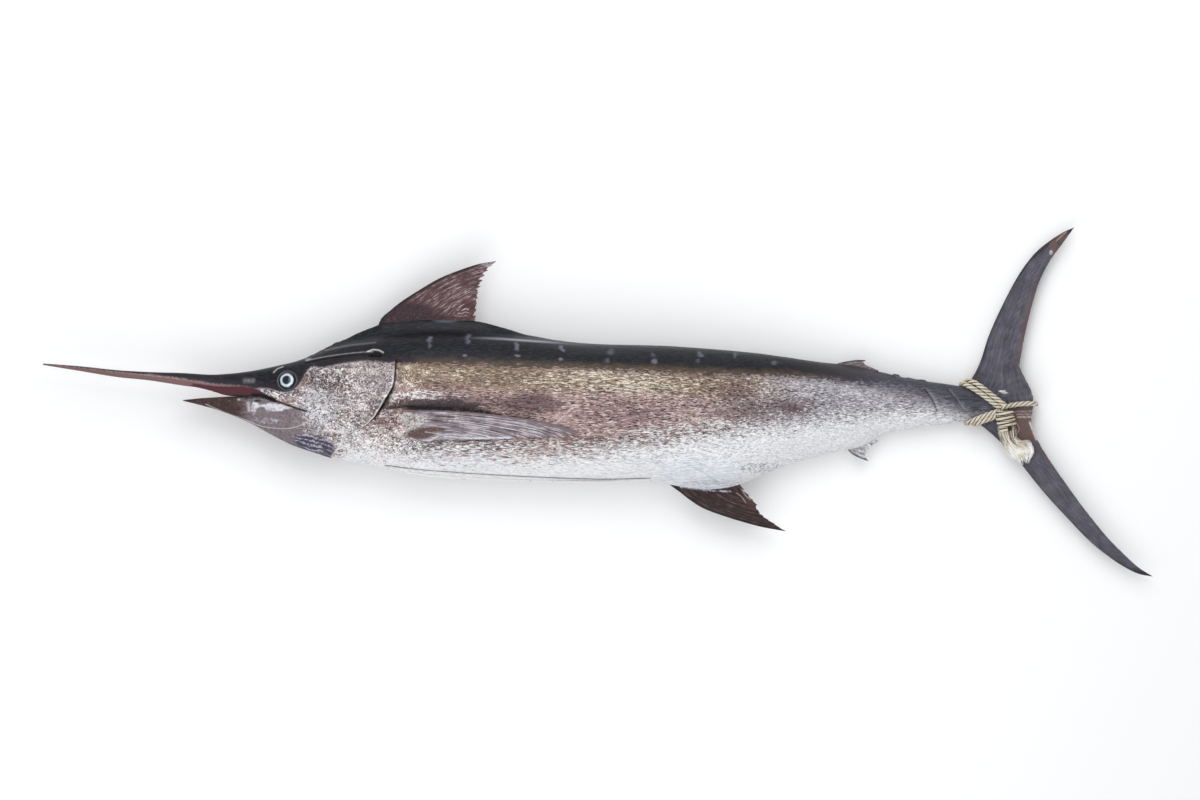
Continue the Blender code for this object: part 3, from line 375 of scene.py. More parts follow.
    def flank_side(self, station: Array, height: Array) -> Array:
        """How far out the left flank is at a height."""
        return self.flank(station, self.angle_at(station, height))[1]


FORM = BodyForm()


def reckoned(operation: str, turned: bool = False) -> Callable[..., "Value"]:
    """One operator of Value, which adds a Math node.

    Args:
        operation: The node's operation.
        turned: The other number comes first.

    Returns:
        The operator, for one or two numbers.
    """
    def reckon(self: "Value", *others: Any) -> "Value":
        """The number that the operation gives."""
        numbers = (*others, self) if turned else (self, *others)
        node = self.recipe.node("Math", {"operation": operation}, dict(enumerate(numbers)))
        return Value(self.recipe, node.outputs[0])
    return reckon


class Value:
    """A socket that carries a number, with the usual operators for reckoning with it."""

    def __init__(self, recipe: "Recipe", socket: bpy.types.NodeSocket) -> None:
        """Wraps a socket of a material that is being made."""
        self.recipe = recipe
        self.socket = socket

    __add__ = reckoned("ADD")
    __radd__ = reckoned("ADD", turned=True)
    __sub__ = reckoned("SUBTRACT")
    __rsub__ = reckoned("SUBTRACT", turned=True)
    __mul__ = reckoned("MULTIPLY")
    __rmul__ = reckoned("MULTIPLY", turned=True)
    __abs__ = reckoned("ABSOLUTE")

    def ramp(self, low: float, high: float) -> "Value":
        """0 where this value is at low, 1 where it is at high, and smooth between them."""
        if low > high:
            return 1.0 - self.ramp(high, low)
        settings = {"interpolation_type": "SMOOTHSTEP"}
        sockets = {0: self, 1: low, 2: high, 3: 0.0, 4: 1.0}
        return Value(self.recipe, self.recipe.node("MapRange", settings, sockets).outputs[0])

    def capped(self) -> "Value":
        """This value, held between 0 and 1."""
        return Value(self.recipe, self.recipe.node("Clamp", {}, {0: self, 1: 0.0, 2: 1.0}).outputs[0])

    def swing(self, reach: float) -> "Value":
        """How far this noise is from its middle, made so much wider."""
        return (self - 0.5) * reach

    def toward(self, other: Any, share: Any) -> "Value":
        """This value drawn towards another by a share."""
        return self + (other - self) * share


class Recipe:
    """A material that is being made, with short ways to add its nodes."""

    def __init__(self, name: str) -> None:
        """Starts a material that has only its Principled shader."""
        self.material = bpy.data.materials.new(name)
        self.material.use_nodes = True
        self.tree = self.material.node_tree
        self.shader = self.tree.nodes["Principled BSDF"]

    def node(self, kind: str, settings: dict[str, Any], sockets: dict[Any, Any]) -> bpy.types.Node:
        """Adds a node.

        Args:
            kind: The node's type without its ShaderNode prefix.
            settings: The node's own options, which are set first.
            sockets: Values or links for its inputs, by name or number.

        Returns:
            The new node.
        """
        made = self.tree.nodes.new("ShaderNode" + kind)
        for name, setting in settings.items():
            setattr(made, name, setting)
        for key, given in sockets.items():
            self.feed(made.inputs[key], given)
        return made

    def feed(self, target: bpy.types.NodeSocket, given: Any) -> None:
        """Links a value or socket to an input, or sets the input to a number or colour."""
        if isinstance(given, Value):
            self.tree.links.new(given.socket, target)
        elif isinstance(given, bpy.types.NodeSocket):
            self.tree.links.new(given, target)
        elif isinstance(given, tuple) and target.type == "RGBA":
            target.default_value = (*given, 1.0)
        else:
            target.default_value = given

    def mark(self, name: str) -> Value:
        """The number that the mesh carries under this name."""
        return Value(self, self.node("Attribute", {"attribute_name": name}, {}).outputs["Fac"])

    def place(self) -> bpy.types.NodeSocket:
        """Where a point is on the piece."""
        return self.node("TexCoord", {}, {}).outputs["Object"]

    def pair(self, first: str, second: str) -> bpy.types.NodeSocket:
        """A place on two measures that the mesh carries, for noise that follows them."""
        return self.node("CombineXYZ", {}, {0: self.mark(first), 1: self.mark(second)}).outputs[0]

    def noise(
        self, pitch: tuple[float, float, float], detail: float = 3.0, roughness: float = 0.55,
        distortion: float = 0.0, where: bpy.types.NodeSocket | None = None,
    ) -> Value:
        """Cloudy noise.

        Args:
            pitch: How many lumps a metre along each axis.
            detail: How many finer layers the noise has.
            roughness: How strong the finer layers are.
            distortion: How far the lumps are pulled about.
            where: The place that it is asked for at, or else the place on the piece.

        Returns:
            Values from 0 to 1, mostly near a half.
        """
        placed = {0: where or self.place(), 1: pitch}
        stretched = self.node("VectorMath", {"operation": "MULTIPLY"}, placed)
        sockets = {"Vector": stretched.outputs[0], "Scale": 1.0, "Detail": detail,
                   "Roughness": roughness, "Distortion": distortion}
        return Value(self, self.node("TexNoise", {}, sockets).outputs[0])

    def mix(self, base: Any, over: Any, share: Value) -> bpy.types.NodeSocket:
        """A colour laid over another by a share."""
        mixed = self.node("Mix", {"data_type": "RGBA"}, {0: share, 6: base, 7: over})
        return mixed.outputs[2]

    def dress(
        self, colour: Any, roughness: Any, coat: Any = 0.0, coat_roughness: float = 0.1,
        specular: float = 0.5, relief: Value | None = None, depth: float = 0.001,
    ) -> bpy.types.Material:
        """Feeds the shader.

        Args:
            colour: The surface's colour.
            roughness: How dull it is.
            coat: How strong the wet film over it is.
            coat_roughness: How dull that film is.
            specular: How strongly the surface itself reflects.
            relief: Fine relief, from 0 to 1.
            depth: How deep that relief is, in metres.

        Returns:
            The finished material.
        """
        inputs = self.shader.inputs
        self.feed(inputs["Base Color"], colour)
        self.feed(inputs["Roughness"], roughness)
        self.feed(inputs["Coat Weight"], coat)
        inputs["Coat Roughness"].default_value = coat_roughness
        inputs["Specular IOR Level"].default_value = specular
        if relief is not None:
            bump = self.node("Bump", {}, {"Strength": 1.0, "Distance": depth, "Height": relief})
            self.feed(inputs["Normal"], bump.outputs[0])
        return self.material


class Grain:
    """The noises that break up the hide's markings."""

    def __init__(self, r: Recipe) -> None:
        """Adds the noises to a material: rounded marks on the head, and strokes along the flank."""
        short = r.mark("short")
        self.cloud = r.noise((13.0, 28.0, 28.0), 3.0, 0.6)
        self.clump = r.noise((48.0, 80.0, 80.0), 3.0, 0.6, 0.8)
        self.blob = r.noise((150.0, 185.0, 185.0), 2.0, 0.55, 1.6)
        self.dash = r.noise((66.0, 345.0, 345.0), 2.5, 0.6, 0.6)
        self.stroke = self.dash.toward(self.blob, short)
        pit = r.noise((200.0, 250.0, 250.0), 1.5, 0.5, 1.2)
        self.nick = r.noise((90.0, 430.0, 430.0), 2.0, 0.6, 0.5).toward(pit, short)
        ripple = r.noise((15.0, 175.0, 175.0), 2.0, 0.5, 1.2)
        self.line = (1.0 - abs(ripple - 0.5) * 12.0).capped() * r.mark("lines")
        curl = r.noise((62.0, 78.0, 78.0), 2.5, 0.55, 1.8)
        self.curl = (1.0 - abs(curl - 0.5) * 19.0).capped() * r.mark("curls")
        self.coarse = (self.clump.swing(0.34) + self.cloud.swing(0.22)) * (short + 0.4)


@dataclass(frozen=True)
class HideFinish:
    """The wet hide: near black on the back, scuffed and streaked on the flank, white below."""

    back: Colour = (0.011, 0.011, 0.014)
    back_streak: Colour = (0.034, 0.036, 0.048)
    back_edge: Colour = (0.085, 0.058, 0.034)
    slate: Colour = (0.104, 0.101, 0.13)
    # Painted highlight: a sheen along the top edge of the back.
    painted_sheen: Colour = (0.46, 0.47, 0.58)
    # Pale dots of the bars on the back, also used for a painted highlight along the top of the dorsal fin's
    # sheath.
    dot_and_sheath_highlight: Colour = (0.2, 0.2, 0.25)
    tan: Colour = (0.28, 0.2, 0.138)
    rose: Colour = (0.365, 0.245, 0.225)
    mauve: Colour = (0.15, 0.092, 0.098)
    blood: Colour = (0.13, 0.06, 0.046)
    grey: Colour = (0.365, 0.35, 0.385)
    cheek: Colour = (0.29, 0.23, 0.235)
    flush: Colour = (0.175, 0.105, 0.105)
    haze: Colour = (0.54, 0.53, 0.57)
    # Dark skin of the face, also used as partly painted shade just above the pectoral fin.
    dusk: Colour = (0.025, 0.019, 0.025)
    scuff: Colour = (0.82, 0.79, 0.79)
    cream: Colour = (0.84, 0.75, 0.62)
    blush: Colour = (0.68, 0.54, 0.52)
    ash: Colour = (0.63, 0.61, 0.65)
    crack: Colour = (0.034, 0.024, 0.028)
    belly: Colour = (0.86, 0.86, 0.87)
    belly_grey: Colour = (0.3, 0.3, 0.32)
    frost: Colour = (0.56, 0.62, 0.74)
    maroon: Colour = (0.08, 0.026, 0.034)
    maroon_pale: Colour = (0.24, 0.15, 0.165)
    bill: Colour = (0.19, 0.115, 0.11)
    jaw_brown: Colour = (0.044, 0.026, 0.025)
    lilac: Colour = (0.47, 0.46, 0.53)
    jaw_grey: Colour = (0.195, 0.155, 0.168)
    fan: Colour = (0.068, 0.058, 0.09)
    fan_ray: Colour = (0.5, 0.49, 0.58)
    navy: Colour = (0.012, 0.014, 0.024)
    # Near black, for painted shade in the gill opening, mouth, nostrils and creases and by the pectoral fin,
    # and for a few dark lines of the skin.
    painted_shade_and_dark_line: Colour = (0.006, 0.005, 0.006)
    # Pale colour for painted highlights along rims and folds and round the orbit, and for the skin's own
    # pale strokes, drips and scratches.
    painted_glint_and_pale_line: Colour = (0.8, 0.78, 0.77)
    gum: Colour = (0.05, 0.014, 0.016)

    def material(self) -> bpy.types.Material:
        """The hide's material, driven by the marks that the skin's mesh carries."""
        r = Recipe("marlin_hide")
        grain = Grain(r)
        flank = self.flank(r, grain)
        hide = self.over_back(r, grain, flank)
        hide = self.over_jaws(r, grain, hide)
        hide = self.over_throat(r, grain, hide)
        dull = r.mark("gloss") * -0.16 + 0.56 + grain.stroke.swing(0.4)
        relief = grain.stroke * 0.8 + grain.nick * 0.3 - grain.line * 0.3
        return r.dress(hide, dull, r.mark("gloss") * 0.07, 0.22, 0.16, relief, 0.0008)

    def flank(self, r: Recipe, grain: Grain) -> bpy.types.NodeSocket:
        """The flank's ground in its regions, under pale and dark strokes, and the white belly."""
        tan = r.mark("tan")
        flank = r.mix(self.rose, self.grey, (r.mark("grey") * (grain.cloud + 0.5)).capped())
        flank = r.mix(flank, self.tan, (tan * (grain.cloud.ramp(0.28, 0.55) + 0.35)).capped())
        cheek = r.mix(self.cheek, self.flush, (grain.cloud * 0.5 + grain.clump * 0.5).ramp(0.5, 0.62) * 0.75)
        flank = r.mix(flank, cheek, r.mark("cheek"))
        flank = r.mix(flank, self.haze, (r.mark("haze") * (grain.cloud + 0.4)).capped())
        flank = r.mix(flank, self.mauve, (r.mark("mauve") * (grain.cloud * 1.2 + 0.4)).capped())
        flank = r.mix(flank, self.blood, (r.mark("blood") * grain.clump.ramp(0.34, 0.52)).capped())
        # Dark patches of the skin, one of them partly painted shade just above the pectoral fin.
        flank = r.mix(flank, self.dusk, (r.mark("dusk") * (grain.clump * 0.9 + 0.5)).capped())
        pale = (grain.stroke + grain.coarse + (r.mark("pale") - 0.5) * 0.34).ramp(0.52, 0.59)
        dark = (grain.nick - grain.coarse * 0.7 + (r.mark("dark") - 0.5) * 0.34).ramp(0.535, 0.6)
        bite = r.mark("bite")
        fleck = r.mix(r.mix(self.scuff, self.blush, r.mark("blush")), self.ash, r.mark("grey") * 0.85)
        flank = r.mix(flank, r.mix(fleck, self.cream, tan), (pale * bite + grain.curl).capped())
        flank = r.mix(flank, self.crack, (dark * r.mark("etch") * bite + grain.line).capped())

        ragged = (grain.stroke - 0.5) * (r.mark("short") * 8.0 + 22.0) + grain.clump.swing(7.0)
        white = (r.mark("belly_depth") + ragged).ramp(-1.6, 1.9)
        scratch = (grain.nick - grain.coarse * 0.5 + grain.dash.swing(0.6)).ramp(0.5, 0.58)
        soiled = (grain.line * 0.55 + scratch * r.mark("dirt")).capped()
        flank = r.mix(flank, r.mix(self.belly, self.belly_grey, soiled), white)
        return r.mix(flank, self.frost, (r.mark("frost") * grain.stroke.ramp(0.42, 0.58)).capped())

    def over_back(self, r: Recipe, grain: Grain, flank: bpy.types.NodeSocket) -> bpy.types.NodeSocket:
        """The back, brown along its ragged edge and slate over the tail stock, with its pale dots, a painted
        highlight along the dorsal fin's sheath and a painted sheen along its top.
        """
        back_depth, soft = r.mark("back_depth"), r.mark("soft")
        depth = back_depth * (soft * -0.72 + 1.0)
        ragged = grain.stroke.swing(4.2) + grain.clump.swing(2.2)
        into_back = depth * -1.0 + ragged * (1.0 - r.mark("short") * 0.7 - soft * 0.5)
        into_back = into_back * (1.0 - soft * 0.5)
        over_edge = (back_depth * -1.0 + grain.clump.swing(2.6) + soft).ramp(0.5, 2.3)
        back = r.mix(r.mix(self.back_edge, self.dusk, r.mark("short")), self.slate, soft)
        back = r.mix(back, self.back, over_edge * (soft * -0.65 + 1.0))
        back = r.mix(back, self.back_streak, grain.dash.ramp(0.48, 0.62) * 0.6)
        # Pale dots in bars, and a painted highlight along the top of the dorsal fin's sheath.
        back = r.mix(back, self.dot_and_sheath_highlight, (r.mark("bar_dots_and_sheath_highlight") * (grain.blob + 0.35)).capped())
        # A painted highlight along the top edge of the back.
        back = r.mix(back, self.painted_sheen, (r.mark("painted_sheen") * (grain.dash * 0.5 + 0.75)).capped())
        return r.mix(flank, back, into_back.ramp(-0.3, 0.45))

    def over_jaws(self, r: Recipe, grain: Grain, hide: bpy.types.NodeSocket) -> bpy.types.NodeSocket:
        """The bill, the maroon side of the snout, and the lower jaw with its pale blotches."""
        rim = (r.mark("maroon_rim") + grain.stroke.swing(1.2)).ramp(0.35, 0.75) * 0.8
        snout = r.mix(self.maroon, self.maroon_pale, rim)
        lower = r.mix(self.bill, snout, (r.mark("maroon") + grain.clump.swing(0.8)).ramp(0.35, 0.65))
        hide = r.mix(hide, lower, r.mark("band"))
        blotch = r.mark("lilac") * 1.1 + grain.clump.swing(1.4) + grain.blob.swing(1.3)
        jaw = r.mix(self.jaw_grey, self.lilac, blotch.ramp(0.34, 0.74))
        jaw = r.mix(jaw, self.scuff, (blotch.ramp(0.72, 0.95) + grain.curl * 0.5).capped() * 0.7)
        jaw = r.mix(jaw, self.crack, grain.nick.ramp(0.54, 0.64) * 0.45)
        fading = r.mark("jaw") * (1.5 + grain.clump.swing(2.4) + grain.blob.swing(2.4))
        hide = r.mix(hide, jaw, fading.ramp(0.25, 0.95))
        tip = (r.mark("jaw_tip") * 1.2 + grain.clump.swing(1.4)).ramp(0.2, 1.0)
        return r.mix(hide, r.mix(self.jaw_brown, self.bill, grain.stroke.ramp(0.5, 0.66) * 0.5), tip)

    def over_throat(self, r: Recipe, grain: Grain, hide: bpy.types.NodeSocket) -> bpy.types.NodeSocket:
        """The pleated throat, the dark round the eyes and in the mouth, painted shade in the gill opening,
        the mouth and creases, and painted highlights and pale lines along folds and rims.
        """
        warped = r.mark("fan_across") * FAN_WAVES + grain.clump.swing(15.0)
        wave = Value(r, r.node("Math", {"operation": "SINE"}, {0: warped}).outputs[0])
        pleats = (wave * 0.5 + grain.blob.swing(2.2) + grain.cloud.swing(2.5)).ramp(0.15, 0.75)
        fan = r.mix(self.fan, self.fan_ray, pleats * 0.85)
        fan = r.mix(fan, self.blood, (r.mark("blood") * 0.8).capped())
        ragged = grain.blob.swing(2.2) + grain.clump.swing(1.6)
        hide = r.mix(hide, fan, (r.mark("fan") * (ragged + 1.5)).ramp(0.3, 0.95))
        hide = r.mix(hide, self.navy, (r.mark("orbit") + grain.blob.swing(0.8)).ramp(0.35, 0.65))
        hide = r.mix(hide, self.gum, r.mark("inside"))
        # Painted shade in the gill opening, mouth, nostrils and creases and by the pectoral fin, with a few
        # dark lines of the skin.
        hide = r.mix(hide, self.painted_shade_and_dark_line, (r.mark("painted_shade_and_dark_line") * (grain.blob * 2.0 + 0.1)).capped())
        # Painted highlights along rims and folds and round the orbit, and pale lines of the skin.
        return r.mix(hide, self.painted_glint_and_pale_line, (r.mark("painted_glint_and_pale_line") * (grain.blob * 1.1 + 0.4)).capped())


@dataclass(frozen=True)
class FinFinish:
    """The skin over a fin's rays: streaks that follow the rays, and a darker leading edge."""

    name: str
    membrane: Colour
    gap: Colour
    ray: Colour
    edge: Colour
    root: Colour
    stain: Colour = (0.105, 0.05, 0.042)
    fleck: Colour = (0.78, 0.76, 0.74)
    pitch: tuple[float, float, float] = (26.0, 260.0, 1.0)
    ray_bounds: tuple[float, float] = (0.52, 0.6)
    gap_bounds: tuple[float, float] = (0.47, 0.39)
    edge_share: float = 0.05
    cloudiness: float = 0.25

    def material(self) -> bpy.types.Material:
        """The fin's material, driven by the marks that the fin's mesh carries."""
        r = Recipe(self.name)
        back, ray = r.mark("back"), r.mark("ray")
        where = r.pair("run", "spread")
        cloud = r.noise((32.0, 32.0, 32.0), 3.0, 0.6, 0.4)
        speck = r.noise((230.0, 230.0, 230.0), 2.0, 0.6, 1.0)
        streak = r.noise(self.pitch, 2.5, 0.6, 0.5, where)
        fine = r.noise(tuple(2.3 * share for share in self.pitch), 2.0, 0.6, 0.3, where)
        pattern = streak * 0.6 + fine * 0.4 + ray.swing(0.05) + cloud.swing(self.cloudiness)
        colour = r.mix(self.membrane, self.ray, pattern.ramp(*self.ray_bounds))
        colour = r.mix(colour, self.gap, pattern.ramp(*self.gap_bounds) * 0.85)
        rooted = (r.mark("rooted") + cloud.swing(0.8) + streak.swing(1.4)).ramp(0.28, 0.66)
        rooted = rooted * (1.0 - speck.ramp(0.57, 0.66) * 0.55)
        colour = r.mix(colour, r.mix(self.root, self.stain, speck.ramp(0.52, 0.43) * 0.85), rooted * 0.95)
        leading = (back + cloud.swing(0.1)).ramp(1.6 * self.edge_share, 0.4 * self.edge_share)
        colour = r.mix(colour, self.edge, leading)
        stained = (r.mark("stain") * (cloud * 0.8 + streak * 1.2)).capped()
        stained = stained * (1.0 - speck.ramp(0.54, 0.64) * 0.5)
        colour = r.mix(colour, self.stain, stained)
        colour = r.mix(colour, self.fleck, (r.mark("fleck") * (speck * 2.2 - 0.25)).capped())
        relief = ray * 0.3 + streak * 0.5 + fine * 0.4
        return r.dress(colour, 0.55 + streak.swing(0.4), 0.04, 0.25, 0.16, relief, 0.0008)


@dataclass(frozen=True)
class EyeFinish:
    """A wide dark pupil in a blue-grey iris, ringed in white."""

    pupil: Colour = (0.003, 0.005, 0.02)
    iris: Colour = (0.05, 0.09, 0.15)
    ring: Colour = (0.6, 0.69, 0.75)
    rim: Colour = (0.006, 0.008, 0.014)
    pupil_radius: float = 8.0
    iris_radius: float = 10.6
    ring_radius: float = 15.8

    def material(self) -> bpy.types.Material:
        """The eye's material, driven by the distance from its axis in millimetres."""
        r = Recipe("marlin_eye")
        cloud = r.noise((180.0, 180.0, 180.0), 3.0, 0.6, 0.8)
        radius = r.mark("radius") * 1000.0 + cloud.swing(2.4)
        colour = r.mix(self.pupil, self.iris, radius.ramp(self.pupil_radius - 0.6, self.pupil_radius + 2.4))
        pale = r.mix(self.ring, self.iris, cloud.ramp(0.57, 0.7) * 0.6)
        colour = r.mix(colour, pale, radius.ramp(self.iris_radius - 0.4, self.iris_radius + 0.5))
        colour = r.mix(colour, self.rim, radius.ramp(self.ring_radius - 0.5, self.ring_radius + 0.8))
        return r.dress(colour, 0.14 + cloud * 0.05, 0.7, 0.03, 0.3)


@dataclass(frozen=True)
class RopeFinish:
    """Laid natural fibre, worn pale on its crowns, with painted shade between its strands and yarns and dirt
    in cloudy patches.
    """

    name: str
    fibre: Colour = (0.38, 0.305, 0.215)
    crown: Colour = (0.68, 0.62, 0.51)
    # Dark colour for painted shade between strands and yarns, and for dirt.
    dirt: Colour = (0.03, 0.019, 0.015)

    def material(self) -> bpy.types.Material:
        """The rope's material, driven by the marks that its mesh carries."""
        r = Recipe(self.name)
        cloud = r.noise((45.0, 45.0, 45.0), 3.0, 0.6)
        thread = r.noise((900.0, 900.0, 900.0), 2.0, 0.6)
        yarn, crown = r.mark("yarn"), r.mark("crown")
        colour = r.mix(self.fibre, self.crown, (crown * 0.9 + cloud.swing(1.4)).ramp(0.3, 0.95))
        # Painted shade on the strands' inner sides, between the strands.
        colour = r.mix(colour, self.dirt, crown.ramp(0.7, 0.26) * 0.96)
        # Painted shade in the grooves between yarns, and dirt in cloudy patches, both less on the crowns.
        worn = yarn.ramp(0.35, 0.0) * 0.5 + cloud.ramp(0.56, 0.72) * 0.35
        colour = r.mix(colour, self.dirt, (worn * crown.ramp(1.0, 0.6)).capped())
        return r.dress(colour, 0.88, 0.0, 0.5, 0.2, yarn * 0.7 + thread * 0.5, 0.0006)


FIN_FINISHES = {
    "dorsal": FinFinish(
        "dorsal_membrane", (0.098, 0.053, 0.056), (0.026, 0.016, 0.02), (0.44, 0.34, 0.36),
        (0.022, 0.017, 0.018), (0.018, 0.016, 0.025), stain=(0.085, 0.034, 0.036),
        pitch=(30.0, 300.0, 1.0), ray_bounds=(0.545, 0.615), edge_share=0.045,
    ),
    "anal": FinFinish(
        "anal_membrane", (0.034, 0.02, 0.021), (0.01, 0.008, 0.009), (0.12, 0.07, 0.062),
        (0.01, 0.009, 0.011), (0.58, 0.64, 0.76), stain=(0.08, 0.04, 0.034), edge_share=0.04,
    ),
    "second": FinFinish(
        "small_fin_membrane", (0.19, 0.145, 0.15), (0.04, 0.033, 0.036), (0.58, 0.48, 0.48),
        (0.03, 0.025, 0.03), (0.02, 0.018, 0.022), pitch=(60.0, 420.0, 1.0),
    ),
    "second_pale": FinFinish(
        "pale_fin_membrane", (0.52, 0.52, 0.54), (0.08, 0.08, 0.09), (0.9, 0.9, 0.92),
        (0.08, 0.08, 0.09), (0.9, 0.9, 0.91), pitch=(70.0, 480.0, 1.0), gap_bounds=(0.5, 0.44),
    ),
    "tail": FinFinish(
        "tail_membrane", (0.088, 0.084, 0.107), (0.05, 0.047, 0.061), (0.145, 0.138, 0.168),
        (0.034, 0.03, 0.04), (0.04, 0.036, 0.046), stain=(0.14, 0.084, 0.073),
        pitch=(14.0, 170.0, 1.0), edge_share=0.06, ray_bounds=(0.49, 0.68), gap_bounds=(0.5, 0.34),
        cloudiness=0.5,
    ),
    "pectoral": FinFinish(
        "pectoral_membrane", (0.2, 0.152, 0.172), (0.03, 0.023, 0.03), (0.58, 0.56, 0.59),
        (0.17, 0.13, 0.148), (0.68, 0.66, 0.65), stain=(0.115, 0.068, 0.056), fleck=(0.74, 0.78, 0.86),
        pitch=(12.0, 620.0, 1.0), ray_bounds=(0.49, 0.59), gap_bounds=(0.465, 0.39), edge_share=0.04,
    ),
}


class Mould:
    """Gathers points and faces, and turns them into one smooth mesh piece."""

    def __init__(self) -> None:
        """Starts with nothing."""
        self.points: list[Array] = []
        self.quads: list[Array] = []
        self.tris: list[Array] = []
        self.marks: dict[str, list[Array]] = {}
        self.count = 0

    def add(self, points: Array, quads: Array, tris: Array, marks: dict[str, Array]) -> None:
        """Adds a piece of surface.

        Args:
            points: Its vertices, one a row.
            quads: Its four-sided faces, as rows of vertex numbers.
            tris: Its three-sided faces.
            marks: Numbers that its vertices carry, by name.
        """
        self.points.append(points)
        self.quads.append(np.asarray(quads, int).reshape(-1, 4) + self.count)
        self.tris.append(np.asarray(tris, int).reshape(-1, 3) + self.count)
        for name, values in marks.items():
            self.marks.setdefault(name, []).append(np.broadcast_to(values, len(points)))
        self.count += len(points)

    def cast(self, name: str, material: bpy.types.Material) -> bpy.types.Object:
        """Makes the piece.

        Args:
            name: The piece's name.
            material: Its finish.

        Returns:
            The new object, linked to the scene.
        """
        quads, tris = np.concatenate(self.quads), np.concatenate(self.tris)
        loops = np.concatenate([quads.ravel(), tris.ravel()]).astype(np.int32)
        sizes = np.concatenate([np.full(len(quads), 4), np.full(len(tris), 3)])
        starts = np.concatenate([[0], np.cumsum(sizes)[:-1]]).astype(np.int32)
        mesh = bpy.data.meshes.new(name)
        mesh.vertices.add(self.count)
        mesh.vertices.foreach_set("co", np.concatenate(self.points).astype(np.float32).ravel())
        mesh.loops.add(len(loops))
        mesh.loops.foreach_set("vertex_index", loops)
        mesh.polygons.add(len(sizes))
        mesh.polygons.foreach_set("loop_start", starts)
        mesh.update(calc_edges=True)
        mesh.validate()
        for mark, parts in self.marks.items():
            layer = mesh.attributes.new(mark, "FLOAT", "POINT")
            layer.data.foreach_set("value", np.concatenate(parts).astype(np.float32))
        mesh.shade_smooth()
        mesh.materials.append(material)
        piece = bpy.data.objects.new(name, mesh)
        bpy.context.scene.collection.objects.link(piece)
        return piece


def woven(index: Array) -> Array:
    """Quads over a grid of vertex numbers whose rows run tailwards and whose columns run round."""
    return np.stack([index[:-1, :-1], index[1:, :-1], index[1:, 1:], index[:-1, 1:]], axis=-1).reshape(-1, 4)


def closed_rings(rings: int, sides: int) -> tuple[Array, Array]:
    """Faces over a stack of rings that a hub closes at each end.

    Args:
        rings: How many rings there are.
        sides: How many points each has.

    Returns:
        Quads and triangles of vertex numbers. The two hubs are numbered after the rings' points.
    """
    numbers = np.arange(rings * sides).reshape(rings, sides)
    following = np.roll(numbers, -1, axis=1)
    tris = [[numbers.size, a, b] for a, b in zip(numbers[0], following[0])]
    tris += [[numbers.size + 1, b, a] for a, b in zip(numbers[-1], following[-1])]
    return woven(np.hstack([numbers, numbers[:, :1]])), np.array(tris)


def settle(piece: bpy.types.Object, slot: str, *nodes: str) -> None:
    """Rides a finished piece on the model, hides the nodes it stands for, and reports it with their names.
    """
    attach(piece, ROOT)
    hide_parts(*nodes)
    log.info("%s: %d faces, for %s", piece.name, len(piece.data.polygons), ", ".join(nodes))


@dataclass(frozen=True)
class EyeSeat:
    """Where an eye sits in the head."""

    hand: int
    station: float = 0.575
    height: float = 0.0505
    sunk: float = 0.0075

    def axis(self) -> tuple[Array, Array]:
        """The eye's centre and the direction that it looks in."""
        station = np.array(self.station)
        angle = FORM.angle_at(station, np.array(self.height))
        angle = angle if self.hand > 0 else 180.0 - angle
        out = FORM.outward(station, angle)
        return FORM.on_skin(station, angle) - out * self.sunk, out

    def distance(self, points: Array) -> Array:
        """How far points on this side of the head are from the eye's axis."""
        centre, out = self.axis()
        offset = points - centre
        forward = offset @ out
        away = np.linalg.norm(offset - forward[..., None] * out, axis=-1)
        return np.where(forward > -0.015, away, 1.0)


